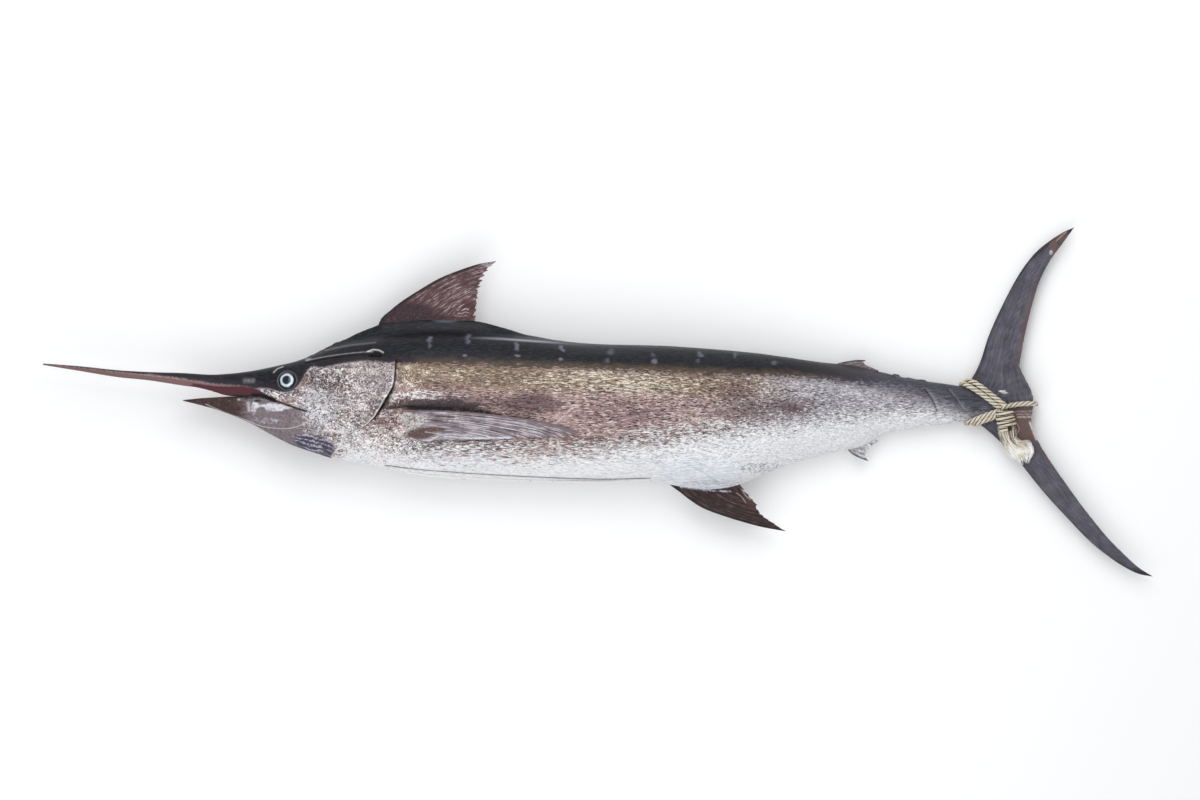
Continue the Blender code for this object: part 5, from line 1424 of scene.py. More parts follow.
MAUVE_PATCHES = (
    Patch(1.633, 0.033, 0.05, 0.03, 0.5), Patch(1.68, -0.0235, 0.13, 0.024, 0.55),
    Patch(1.144, -0.004, 0.085, 0.022, 0.95), Patch(1.356, -0.0306, 0.11, 0.03, 0.35),
    Patch(1.779, -0.0071, 0.05, 0.018, 0.45), Patch(0.935, 0.0, 0.11, 0.02, 0.75),
    Patch(0.8, -0.02, 0.04, 0.03, 0.45), Patch(1.25, -0.075, 0.12, 0.02, 0.3),
)
BLOOD_PATCHES = (
    Patch(0.9, -0.0752, 0.046, 0.014, 0.95), Patch(1.022, -0.1034, 0.055, 0.014, 0.65),
    Patch(1.25, -0.0964, 0.09, 0.016, 0.7), Patch(0.683, -0.078, 0.027, 0.01, 0.95),
    Patch(0.69, 0.048, 0.044, 0.03, 1.0), Patch(0.62, 0.064, 0.018, 0.024, 0.95),
    Patch(0.845, -0.015, 0.036, 0.008, 0.95), Patch(0.79, -0.056, 0.04, 0.028, 0.35),
    Patch(0.74, 0.03, 0.03, 0.02, 0.35),
    Trace(((0.792, -0.03), (0.83, -0.021), (0.86, -0.019), (0.884, -0.024)), 0.007, 0.95),
)
FROST_PATCHES = (Patch(1.545, -0.168, 0.105, 0.045, 0.6), Patch(0.975, -0.13, 0.1, 0.018, 0.2))
LILAC_PATCHES = (
    Patch(0.548, -0.011, 0.052, 0.014, 0.85), Patch(0.496, -0.013, 0.01, 0.02, 0.65),
    Patch(0.52, -0.043, 0.05, 0.012, 0.35), Patch(0.44, 0.008, 0.016, 0.004, 0.4),
)
JAW_SPOTS = (Patch(0.512, -0.024, 0.012, 0.012, 0.8), Patch(0.58, -0.03, 0.038, 0.014, 0.7))


@dataclass(frozen=True)
class EyeBall:
    """One eye: a flattened ball with a wet shine."""

    seat: EyeSeat
    radius: float = 0.0222
    depth: float = 0.0149
    rings: int = 56
    segments: int = 72

    def build(self, name: str, material: bpy.types.Material) -> None:
        """Makes the eye and sets it in its socket."""
        centre, out = self.seat.axis()
        quat = Vector(out).to_track_quat("Z", "Y")
        across, over = np.array(quat @ Vector((1, 0, 0))), np.array(quat @ Vector((0, 1, 0)))
        lean = np.linspace(0.0, np.pi, self.rings + 1)[1:-1, None]
        turn = np.linspace(0.0, 2.0 * np.pi, self.segments, endpoint=False)[None, :]
        reach = self.radius * np.sin(lean)
        place = centre + (self.depth * np.cos(lean) + 0.0 * turn)[..., None] * out
        place = place + (reach * np.cos(turn))[..., None] * across + (reach * np.sin(turn))[..., None] * over
        poles = np.array([centre + self.depth * out, centre - self.depth * out])
        quads, tris = closed_rings(*place.shape[:2])
        radius = np.concatenate([(reach + 0.0 * turn).ravel(), [0.0, 0.0]])
        mould = Mould()
        mould.add(np.vstack([place.reshape(-1, 3), poles]), quads, tris, {"radius": radius})
        settle(mould.cast("dressed_" + name, material), "eye", name)


class Lie(Enum):
    """How a fin lies on the fish."""

    UPRIGHT = "in the middle plane"
    ON_FLANK = "folded back on the upper flank"
    UNDER_FLANK = "pinned between the lower flank and the floor"


@dataclass(frozen=True)
class FinShape:
    """A fin in side view: its edges, between which rays run from the root to the trailing edge."""

    root: Points
    leading: Points
    trailing: Points

    def place(self, out: Array, back: Array) -> tuple[Array, Array]:
        """Stations and heights at shares of the way out along the rays and back across them."""
        out, back = np.broadcast_arrays(out, back)
        base, edge = along(self.root, back), along(self.trailing, back)
        first, last = along(self.leading, out), along((self.root[-1], self.trailing[-1]), out)
        ends = [np.array(line[k]) for line in (self.root, self.trailing) for k in (0, -1)]
        u, v = out[..., None], back[..., None]
        blend = (1 - u) * base + u * edge + (1 - v) * first + v * last
        blend = blend - (1 - u) * ((1 - v) * ends[0] + v * ends[1]) - u * ((1 - v) * ends[2] + v * ends[3])
        return blend[..., 0], blend[..., 1]


@dataclass(frozen=True)
class Fin:
    """One fin, with ridged rays and a ragged trailing edge."""

    node: str
    shape: FinShape
    finish: str
    rays: int
    rows: int
    root_thickness: float
    tip_thickness: float
    tear: float
    fringe: float
    slot: str = "fin"
    lie: Lie = Lie.UPRIGHT
    stains: tuple[Trace | Patch, ...] = ()
    flecks: tuple[Trace | Patch, ...] = ()
    rooted: tuple[Trace | Patch, ...] = ()
    columns_per_ray: int = 12
    notches: int = 38
    ray_rise: float = 0.3
    waviness: float = 0.0
    lengthwise: bool = False
    droop: float = math.radians(6.0)

    def laid(self, station: Array, height: Array, side: Array, out: Array, back: Array) -> Array:
        """Places of the fin's faces, as the fin lies."""
        if self.lie is Lie.UPRIGHT:
            bend = self.waviness * out * np.sin(9.0 * back + 3.0 * out)
            return FORM.lay(station, height, side + bend)
        if self.lie is Lie.ON_FLANK:
            rooted = -0.013 * (1.0 - ease(out, 0.0, 0.22))
            swell = np.sin(np.pi * np.minimum(1.0, out * 1.1)) * (1.0 - ease(back, 0.0, 0.5))
            proud = FORM.flank_side(station, height) + rooted + 0.005 + 0.006 * swell
            return FORM.lay(station, height, proud + side)
        hinge = self.shape.root[0]
        x, y = station - hinge[0], height - hinge[1]
        dropped = hinge[0] + x * math.cos(self.droop) + y * math.sin(self.droop)
        lowered = hinge[1] + y * math.cos(self.droop) - x * math.sin(self.droop)
        place = FORM.lay(dropped, lowered, 0.0 * side)
        place[..., 2] = 0.0032 + 0.014 * (1.0 - ease(out, 0.0, 0.09)) + np.clip(side * 0.75, -0.0032, 0.0032)
        return place

    def measures(
        self, station: Array, height: Array, out: Array, back: Array, lengths: Array,
    ) -> tuple[Array, Array]:
        """How far each place is along the fin's grain and across it, in metres.

        Args:
            station: Stations of places on the fin.
            height: Their heights.
            out: Their shares of the way out along the rays.
            back: Their shares of the way back across them.
            lengths: Each ray's length.

        Returns:
            Distances along the grain and across it.
        """
        if not self.lengthwise:
            root_length = np.linalg.norm(np.array(self.shape.root[-1]) - self.shape.root[0])
            return out * lengths, back * root_length * 1.2
        edges = self.shape.leading, self.shape.trailing
        leading, trailing = (np.array(sorted(edge, key=lambda point: point[1])) for edge in edges)
        front = np.interp(height, leading[:, 1], leading[:, 0])
        rear = np.interp(height, trailing[:, 1], trailing[:, 0])
        return np.abs(height) * 1.1, 0.12 * (station - front) / np.maximum(rear - front, 0.004)

    def build(self) -> None:
        """Makes the fin and dresses it."""
        columns = self.rays * self.columns_per_ray + 1
        back = np.linspace(0.0, 1.0, columns)
        phase = back * self.rays
        chance = np.random.default_rng(len(self.node) * 7 + self.rays)
        lengths = np.linalg.norm(along(self.shape.trailing, back) - along(self.shape.root, back), axis=1)
        tears = chance.uniform(0.3, 1.0, self.rays + 1)
        torn = np.interp(phase, np.arange(self.rays + 1), tears) * self.tear
        torn = torn * np.sin(np.pi * (phase % 1.0)) ** 0.8
        notches = np.linspace(0.0, 1.0, self.notches)
        torn = torn * np.interp(back, notches, chance.uniform(0.35, 1.25, self.notches))
        torn = torn + self.fringe * chance.uniform(0.0, 1.0, columns) ** 1.5
        torn *= ease(back, 0.02, 0.1)
        reach = 1.0 - np.minimum(torn / lengths, 0.45)
        out = np.linspace(0.0, 1.0, self.rows + 1)[:, None] * reach[None, :]
        spread = back[None, :] + 0.0 * out
        station, height = self.shape.place(out, spread)
        ridge = np.cos(np.pi * (phase % 1.0)) ** 2
        ridge = ridge[None, :] * np.ones_like(out)
        thickness = self.root_thickness + (self.tip_thickness - self.root_thickness) * out**0.7
        thickness *= 1.0 - 0.55 * ease(spread, 0.15, 1.0)
        rounded = np.sqrt(np.clip(1.0 - (1.0 - np.minimum(spread / 0.05, 1.0)) ** 2, 0.0025, 1.0))
        thickness *= rounded * (1.0 - self.ray_rise + self.ray_rise * ridge)
        thickness *= 0.25 + 0.75 * ease(reach[None, :] - out, 0.0, 0.03)
        run, across = self.measures(station, height, out, spread, lengths)
        marks = {
            "back": spread, "ray": ridge, "run": run, "spread": across,
            "stain": laid_on(self.stains, station, height), "fleck": laid_on(self.flecks, station, height),
            "rooted": laid_on(self.rooted, station, height),
        }
        faces = [self.laid(station, height, hand * thickness / 2.0, out, spread) for hand in (1.0, -1.0)]
        size = out.size
        left = np.arange(size).reshape(out.shape)
        right = left + size
        rim = np.concatenate([left[0], left[1:, -1], left[-1, -2::-1], left[-2:0:-1, 0]])
        following = np.roll(rim, -1)
        edges = np.stack([rim, rim + size, following + size, following], axis=-1)
        quads = np.concatenate([woven(left), woven(right)[:, ::-1], edges])
        points = np.concatenate([face.reshape(-1, 3) for face in faces])
        points[:, 2] = np.maximum(points[:, 2], 0.0)
        mould = Mould()
        mould.add(points, quads, [], {name: np.tile(values.ravel(), 2) for name, values in marks.items()})
        piece = mould.cast("dressed_" + self.node, FINISHED[self.finish])
        outward_first(piece)
        settle(piece, self.slot, self.node)


def outward_first(piece: bpy.types.Object) -> None:
    """Turns a closed piece's faces so that they all point out."""
    shell = bmesh.new()
    shell.from_mesh(piece.data)
    bmesh.ops.recalc_face_normals(shell, faces=shell.faces)
    shell.to_mesh(piece.data)
    shell.free()


FINISHED: dict[str, bpy.types.Material] = {}

# The fins in side view, as stations and heights.
DORSAL = FinShape(
    root=((0.783, 0.16), (0.886, 0.162), (0.98, 0.162), (1.015, 0.16)),
    leading=(
        (0.783, 0.16), (0.794, 0.194), (0.815, 0.214), (0.844, 0.237), (0.886, 0.264),
        (0.933, 0.291), (0.98, 0.31), (1.027, 0.325), (1.065, 0.331),
    ),
    trailing=(
        (1.065, 0.331), (1.046, 0.308), (1.032, 0.28), (1.024, 0.25), (1.02, 0.221),
        (1.018, 0.19),
    ),
)
ANAL = FinShape(
    root=((1.459, -0.176), (1.52, -0.18), (1.6, -0.18), (1.633, -0.176)),
    leading=(
        (1.459, -0.176), (1.473, -0.194), (1.497, -0.212), (1.52, -0.23), (1.55, -0.249),
        (1.591, -0.265), (1.638, -0.28), (1.69, -0.294), (1.746, -0.304),
    ),
    trailing=(
        (1.746, -0.304), (1.722, -0.287), (1.7, -0.272), (1.686, -0.258), (1.68, -0.242),
        (1.666, -0.226), (1.65, -0.208), (1.64, -0.194),
    ),
)
SECOND_DORSAL = FinShape(
    root=((1.846, 0.08), (1.89, 0.074), (1.93, 0.068), (1.96, 0.063)),
    leading=((1.846, 0.08), (1.868, 0.0905), (1.892, 0.096), (1.915, 0.099), (1.934, 0.0985)),
    trailing=((1.934, 0.0985), (1.931, 0.0925), (1.94, 0.085), (1.965, 0.0765)),
)
SECOND_ANAL = FinShape(
    root=((1.884, -0.098), (1.91, -0.092), (1.935, -0.084), (1.955, -0.078)),
    leading=((1.884, -0.098), (1.892, -0.112), (1.903, -0.123), (1.918, -0.131), (1.941, -0.1395)),
    trailing=((1.941, -0.1395), (1.934, -0.126), (1.938, -0.114), (1.95, -0.103), (1.966, -0.093)),
)
UPPER_LOBE = FinShape(
    root=((2.155, 0.026), (2.185, 0.018), (2.205, 0.008), (2.215, -0.0047)),
    leading=(
        (2.155, 0.026), (2.178, 0.047), (2.202, 0.089), (2.225, 0.158), (2.261, 0.237),
        (2.296, 0.301), (2.331, 0.348), (2.366, 0.378), (2.402, 0.401), (2.4255, 0.411),
    ),
    trailing=(
        (2.4255, 0.411), (2.399, 0.374), (2.366, 0.328), (2.343, 0.281), (2.327, 0.23),
        (2.313, 0.174), (2.303, 0.122), (2.298, 0.085), (2.31, 0.056), (2.322, 0.033),
        (2.329, 0.012), (2.331, -0.0047),
    ),
)
LOWER_LOBE = FinShape(
    root=((2.155, -0.036), (2.185, -0.028), (2.205, -0.018), (2.215, -0.0051)),
    leading=(
        (2.155, -0.036), (2.193, -0.047), (2.225, -0.07), (2.261, -0.103), (2.296, -0.137),
        (2.331, -0.181), (2.366, -0.223), (2.402, -0.262), (2.437, -0.298), (2.472, -0.334),
        (2.507, -0.364), (2.543, -0.388), (2.578, -0.405), (2.611, -0.411),
    ),
    trailing=(
        (2.611, -0.411), (2.578, -0.39), (2.543, -0.358), (2.507, -0.322), (2.472, -0.28),
        (2.437, -0.235), (2.402, -0.186), (2.366, -0.134), (2.343, -0.096), (2.329, -0.068),
        (2.325, -0.042), (2.331, -0.0051),
    ),
)
PECTORAL = FinShape(
    root=((0.812, -0.034), (0.822, -0.055), (0.838, -0.073), (0.856, -0.085)),
    leading=(
        (0.812, -0.034), (0.839, -0.023), (0.886, -0.0195), (0.933, -0.02), (1.027, -0.026),
        (1.121, -0.0375), (1.215, -0.0555), (1.262, -0.0715),
    ),
    trailing=(
        (1.262, -0.0715), (1.215, -0.0805), (1.121, -0.0855), (1.027, -0.088), (0.933, -0.09),
        (0.898, -0.092),
    ),
)
FINS = (
    Fin("dorsal_fin", DORSAL, "dorsal", 11, 100, 0.0066, 0.0016, 0.015, 0.002, waviness=0.003,
        stains=(Patch(1.0, 0.21, 0.024, 0.03, 0.6), Patch(0.9, 0.262, 0.05, 0.01, 0.25)),
        flecks=(
            Trace(((0.985, 0.215), (0.993, 0.219), (1.0, 0.2175)), 0.001, 0.75),
            Trace(((0.975, 0.209), (0.984, 0.208), (0.992, 0.211), (1.001, 0.21)), 0.0008, 0.45),
            Trace(((0.966, 0.203), (0.982, 0.201), (0.996, 0.2035)), 0.0008, 0.3),
            Trace(((0.978, 0.223), (0.99, 0.23)), 0.0008, 0.45), Patch(1.052, 0.324, 0.022, 0.008, 0.35),
        ),
        rooted=(
            Patch(0.85, 0.195, 0.09, 0.046, 0.72),
            Patch(0.95, 0.193, 0.07, 0.01, 0.45), Patch(0.8, 0.19, 0.03, 0.03, 0.8),
        ),
        columns_per_ray=16),
    Fin("anal_fin", ANAL, "anal", 10, 80, 0.007, 0.0016, 0.009, 0.003, waviness=0.002,
        stains=(Patch(1.668, -0.222, 0.026, 0.026, 0.9),),
        flecks=(
            Trace(((1.641, -0.205), (1.65, -0.218), (1.662, -0.23)), 0.0009, 0.6),
            Trace(((1.63, -0.214), (1.642, -0.223), (1.652, -0.237)), 0.0008, 0.5),
        ),
        rooted=(
            Trace(((1.5, -0.199), (1.56, -0.2065), (1.615, -0.211)), 0.004, 0.58),
        ),
        columns_per_ray=16),
    Fin("second_dorsal_fin", SECOND_DORSAL, "second", 6, 24, 0.005, 0.0014, 0.004, 0.001),
    Fin("second_anal_fin", SECOND_ANAL, "second_pale", 6, 26, 0.005, 0.0014, 0.003, 0.001,
        stains=(Trace(((1.892, -0.112), (1.918, -0.131), (1.941, -0.1395)), 0.003, 0.7),)),
    Fin(
        "caudal_lobe_upper", UPPER_LOBE, "tail", 26, 130, 0.018, 0.0026, 0.001, 0.0006, slot="tail",
        lengthwise=True, ray_rise=0.05, columns_per_ray=7,
        stains=(
            Patch(2.378, 0.366, 0.012, 0.016, 1.0), Patch(2.398, 0.388, 0.02, 0.014, 0.8),
            Trace(((2.3, 0.09), (2.306, 0.15), (2.32, 0.22), (2.338, 0.27)), 0.01, 0.6),
            Trace(((2.298, 0.085), (2.31, 0.056), (2.322, 0.033)), 0.004, 0.5),
        ),
        flecks=(
            Patch(2.371, 0.352, 0.004, 0.006, 0.55), Trace(((2.384, 0.38), (2.408, 0.402)), 0.0012, 0.35),
            Patch(2.256, 0.0255, 0.009, 0.002, 1.6), Patch(2.262, 0.0215, 0.008, 0.0014, 1.3),
            Trace(((2.301, 0.085), (2.306, 0.14)), 0.0013, 0.6), Patch(2.299, 0.086, 0.004, 0.003, 0.8),
        ),
    ),
    Fin(
        "caudal_lobe_lower", LOWER_LOBE, "tail", 26, 130, 0.018, 0.0026, 0.001, 0.0006, slot="tail",
        lengthwise=True, ray_rise=0.05, columns_per_ray=7,
        stains=(
            Patch(2.304, -0.055, 0.04, 0.045, 1.3), Trace(((2.32, -0.07), (2.372, -0.145)), 0.005, 0.45),
        ),
        flecks=(
            Trace(((2.285, -0.0225), (2.331, -0.022)), 0.0011, 0.4),
            Trace(((2.29, -0.029), (2.331, -0.029)), 0.0011, 0.35),
            Trace(((2.292, -0.0355), (2.33, -0.0355)), 0.0012, 0.7),
            Trace(((2.321, -0.048), (2.327, -0.064), (2.336, -0.088)), 0.002, 0.9),
            Trace(((2.29, -0.05), (2.296, -0.064), (2.288, -0.08), (2.296, -0.094)), 0.0012, 0.35),
        ),
        rooted=(
            Trace(((2.285, -0.0185), (2.331, -0.0185)), 0.0014, 1.5),
            Trace(((2.285, -0.0325), (2.331, -0.0325)), 0.0012, 1.5),
        ),
    ),
    Fin(
        "pectoral_fin_left", PECTORAL, "pectoral", 20, 100, 0.011, 0.0022, 0.0016, 0.0008, lie=Lie.ON_FLANK,
        columns_per_ray=7,
        stains=(
            Patch(0.888, -0.0745, 0.032, 0.013, 1.2), Patch(0.918, -0.0635, 0.036, 0.005, 1.0),
            Patch(0.905, -0.07, 0.03, 0.008, 0.5),
        ),
        flecks=(
            Trace(((0.945, -0.08), (1.0, -0.0845), (1.1, -0.0835)), 0.002, 0.75),
            Trace(((0.9, -0.07), (0.945, -0.076), (1.01, -0.079)), 0.001, 0.6),
            Trace(((0.866, -0.084), (0.885, -0.0915), (0.912, -0.089), (0.93, -0.08)), 0.0012, 0.9),
            Trace(((0.945, -0.0745), (0.985, -0.0755), (1.03, -0.0735)), 0.0008, 0.45),
        ),
        rooted=(Patch(0.855, -0.048, 0.04, 0.03, 0.9), Patch(0.93, -0.04, 0.07, 0.014, 0.45)),
    ),
    Fin("pectoral_fin_right", PECTORAL, "pectoral", 20, 60, 0.008, 0.0022, 0.0016, 0.0008,
        lie=Lie.UNDER_FLANK, columns_per_ray=7),
)


def carried(path: Array) -> tuple[Array, Array]:
    """Two directions across a path, carried along it without twist.

    Args:
        path: The path's points.

    Returns:
        Unit directions across the path and over it, one of each for a point.
    """
    ahead = np.gradient(path, axis=0)
    ahead /= np.linalg.norm(ahead, axis=1, keepdims=True)
    start = np.cross(ahead[0], (0.0, 0.0, 1.0))
    if np.linalg.norm(start) < 1e-3:
        start = np.cross(ahead[0], (0.0, 1.0, 0.0))
    across = [start / np.linalg.norm(start)]
    for direction in ahead[1:]:
        kept = across[-1] - direction * (across[-1] @ direction)
        across.append(kept / np.linalg.norm(kept))
    across = np.array(across)
    return across, np.cross(ahead, across)


def spokes(path: Array, sides: int) -> Array:
    """Evenly spaced directions round each point of a path."""
    across, over = carried(path)
    turn = np.linspace(0.0, 2.0 * np.pi, sides, endpoint=False)[None, :, None]
    return np.cos(turn) * across[:, None] + np.sin(turn) * over[:, None]


def sweep(
    mould: Mould, path: Array, radii: Array, sides: int, marks: dict[str, Array | float], yarns: int = 0,
) -> None:
    """Adds a closed tube along a path.

    Args:
        mould: What the tube is added to.
        path: The points that it follows.
        radii: Its radius at each of them.
        sides: How many sides it has.
        marks: Numbers for its rings, by name.
        yarns: How many yarns wind round it.
    """
    place = path[:, None] + np.asarray(radii)[:, None, None] * spokes(path, sides)
    marks = dict(marks)
    if yarns:
        turn = np.linspace(0.0, 2.0 * np.pi, sides, endpoint=False)
        wound = turn[None, :] - 2.0 * np.pi * travelled(path)[:, None] / Lashing.lay_length
        marks["yarn"] = 0.5 + 0.5 * np.cos(yarns * wound)
    spread = {}
    for name, values in marks.items():
        values = values[:, None] if np.ndim(values) == 1 else values
        values = np.broadcast_to(values, place.shape[:2])
        spread[name] = np.concatenate([values.ravel(), [values[0].mean(), values[-1].mean()]])
    quads, tris = closed_rings(*place.shape[:2])
    points = np.vstack([place.reshape(-1, 3), path[:1], path[-1:]])
    mould.add(points, quads[:, ::-1], tris[:, ::-1], spread)


@dataclass(frozen=True)
class Lashing:
    """The rope round the tail: two turns, a turn through the fork, and a hitch."""

    radius: float = 0.0062
    strand_radius: float = 0.003
    strand_offset: float = 0.0032
    lay_length: float = 0.04
    knot_lay_length: float = 0.15
    step: float = 0.0014
    sides: int = 12
    knot_top: tuple[float, float, float] = (2.26, -0.023, 0.0245)
    knot_foot: tuple[float, float, float] = (2.268, -0.064, 0.0235)
    knot_half_width: float = 0.0175
    knot_half_height: float = 0.0112
    knot_turns: float = 3.25
    core_radius: float = 0.0098
    yarns: int = 7
    hairs: int = 90
    hair_radius: float = 0.00016
    front_loop: Points = (
        (2.256, -0.018, 0.015), (2.233, -0.001, 0.018), (2.205, 0.02, 0.021), (2.181, 0.035, 0.0195),
        (2.168, 0.0415, 0.01), (2.163, 0.043, 0.0), (2.16, 0.04, -0.011), (2.16, 0.028, -0.021),
        (2.162, 0.008, -0.0265), (2.165, -0.015, -0.0265), (2.168, -0.035, -0.022), (2.17, -0.047, -0.011),
        (2.173, -0.0505, 0.0), (2.18, -0.047, 0.012), (2.203, -0.0365, 0.0185), (2.232, -0.026, 0.0165),
    )
    rear_loop: Points = (
        (2.262, -0.008, 0.0165), (2.2405, 0.009, 0.0175), (2.213, 0.0305, 0.0195), (2.1925, 0.0445, 0.0165),
        (2.18, 0.0495, 0.008), (2.176, 0.0505, 0.0), (2.173, 0.047, -0.01), (2.172, 0.029, -0.0205),
        (2.174, 0.008, -0.026), (2.178, -0.015, -0.026), (2.183, -0.035, -0.021), (2.187, -0.048, -0.011),
        (2.191, -0.0525, 0.0), (2.197, -0.05, 0.0105), (2.213, -0.044, 0.0165), (2.238, -0.034, 0.0165),
    )
    fork_turn: Points = (
        (2.25, -0.017, 0.021), (2.262, -0.0115, 0.0185), (2.285, -0.0065, 0.013), (2.31, -0.004, 0.0095),
        (2.327, -0.0038, 0.0075), (2.3365, -0.0045, 0.0), (2.327, -0.006, -0.008), (2.3, -0.0065, -0.0105),
        (2.262, -0.006, -0.015), (2.215, -0.004, -0.0215), (2.18, -0.002, -0.027),
    )

    def course(self, route: Points, closed: bool) -> Array:
        """Evenly spaced points along a route, in the frame."""
        line = route + route[:1] if closed else route
        rough = along(line, np.linspace(0.0, 1.0, 400))
        length = np.linalg.norm(np.diff(rough, axis=0), axis=1).sum()
        fine = along(line, np.linspace(0.0, 1.0, round(length / self.step)))
        return FORM.lay(fine[:, 0], fine[:, 1], fine[:, 2])

    def knot_ends(self) -> tuple[Array, Array]:
        """The top and foot of the hitch, in the frame."""
        return FORM.lay(*np.array(self.knot_top)), FORM.lay(*np.array(self.knot_foot))

    def knot(self) -> Array:
        """The turns of the hitch, wound down its own standing part."""
        top, foot = self.knot_ends()
        axis = (foot - top) / np.linalg.norm(foot - top)
        across = np.cross(axis, (0.0, 0.0, 1.0))
        across /= np.linalg.norm(across)
        over = np.cross(across, axis)
        share = np.linspace(0.0, 1.0, round(self.knot_turns * 60))[:, None]
        turn = 2.0 * np.pi * self.knot_turns * share
        barrel = 0.86 + 0.14 * np.sin(np.pi * share)
        swing = across * np.cos(turn) * self.knot_half_width + over * np.sin(turn) * self.knot_half_height
        return top + (foot - top) * share + swing * barrel

    def paths(self) -> list[Array]:
        """The courses of the two loops, of the turn through the fork and of the hitch."""
        routes = (self.front_loop, True), (self.rear_loop, True), (self.fork_turn, False)
        return [*(self.course(route, closed) for route, closed in routes), self.knot()]

    def twist(self, mould: Mould, path: Array, phase: float, lay: float) -> None:
        """Lays three strands along a path, once round in each lay's length."""
        across, over = carried(path)
        for strand in range(3):
            turn = phase - 2.0 * np.pi * (travelled(path) / lay + strand / 3.0)
            spoke = np.cos(turn)[:, None] * across + np.sin(turn)[:, None] * over
            line = path + self.strand_offset * spoke
            facing = (spokes(line, self.sides) * spoke[:, None]).sum(axis=-1)
            # The crown mark is lowest on the strand's inner side, where the finish paints shade between the
            # strands.
            marks = {"crown": np.clip(facing * 0.75 + 0.45, 0.0, 1.0)}
            sweep(mould, line, np.full(len(line), self.strand_radius), self.sides, marks, self.yarns)

    def build(self) -> None:
        """Makes the lashing and dresses it."""
        mould = Mould()
        paths = self.paths()
        for number, path in enumerate(paths[:-1]):
            self.twist(mould, path, 0.9 * number, self.lay_length)
        self.twist(mould, paths[-1], 0.4, self.knot_lay_length)
        top, foot = self.knot_ends()
        # A dark core fills the inside of the hitch; its low crown mark paints it as shade.
        core = np.array([top + (top - foot) * (0.1 - 0.12 * k) for k in range(11)])
        sweep(mould, core, np.full(len(core), self.core_radius), 20, {"crown": 0.2}, self.yarns)
        self.fuzz(mould, paths)
        piece = mould.cast("dressed_rope_lashing", RopeFinish("laid_fibre").material())
        settle(piece, "rope", "rope_lashing")

    def fuzz(self, mould: Mould, paths: list[Array]) -> None:
        """Loose hairs that stand off the rope along its paths."""
        chance = np.random.default_rng(5)
        share = np.linspace(0.0, 1.0, 5)[:, None]
        for path in paths:
            across, over = carried(path)
            for k in chance.integers(3, len(path) - 4, self.hairs):
                turn = chance.uniform(0.0, 2.0 * np.pi)
                out = across[k] * math.cos(turn) + over[k] * math.sin(turn)
                ahead = (path[k + 3] - path[k - 3]) / np.linalg.norm(path[k + 3] - path[k - 3])
                reach = chance.uniform(0.002, 0.006)
                lean = ahead * chance.uniform(-1.0, 1.0) * reach * 1.5
                hair = path[k] + out * (self.radius * 0.92 + reach * share) + lean * share**2
                radii = self.hair_radius * (1.0 - 0.7 * share[:, 0])
                sweep(mould, hair, radii, 4, {"crown": 1.0, "yarn": 1.0})


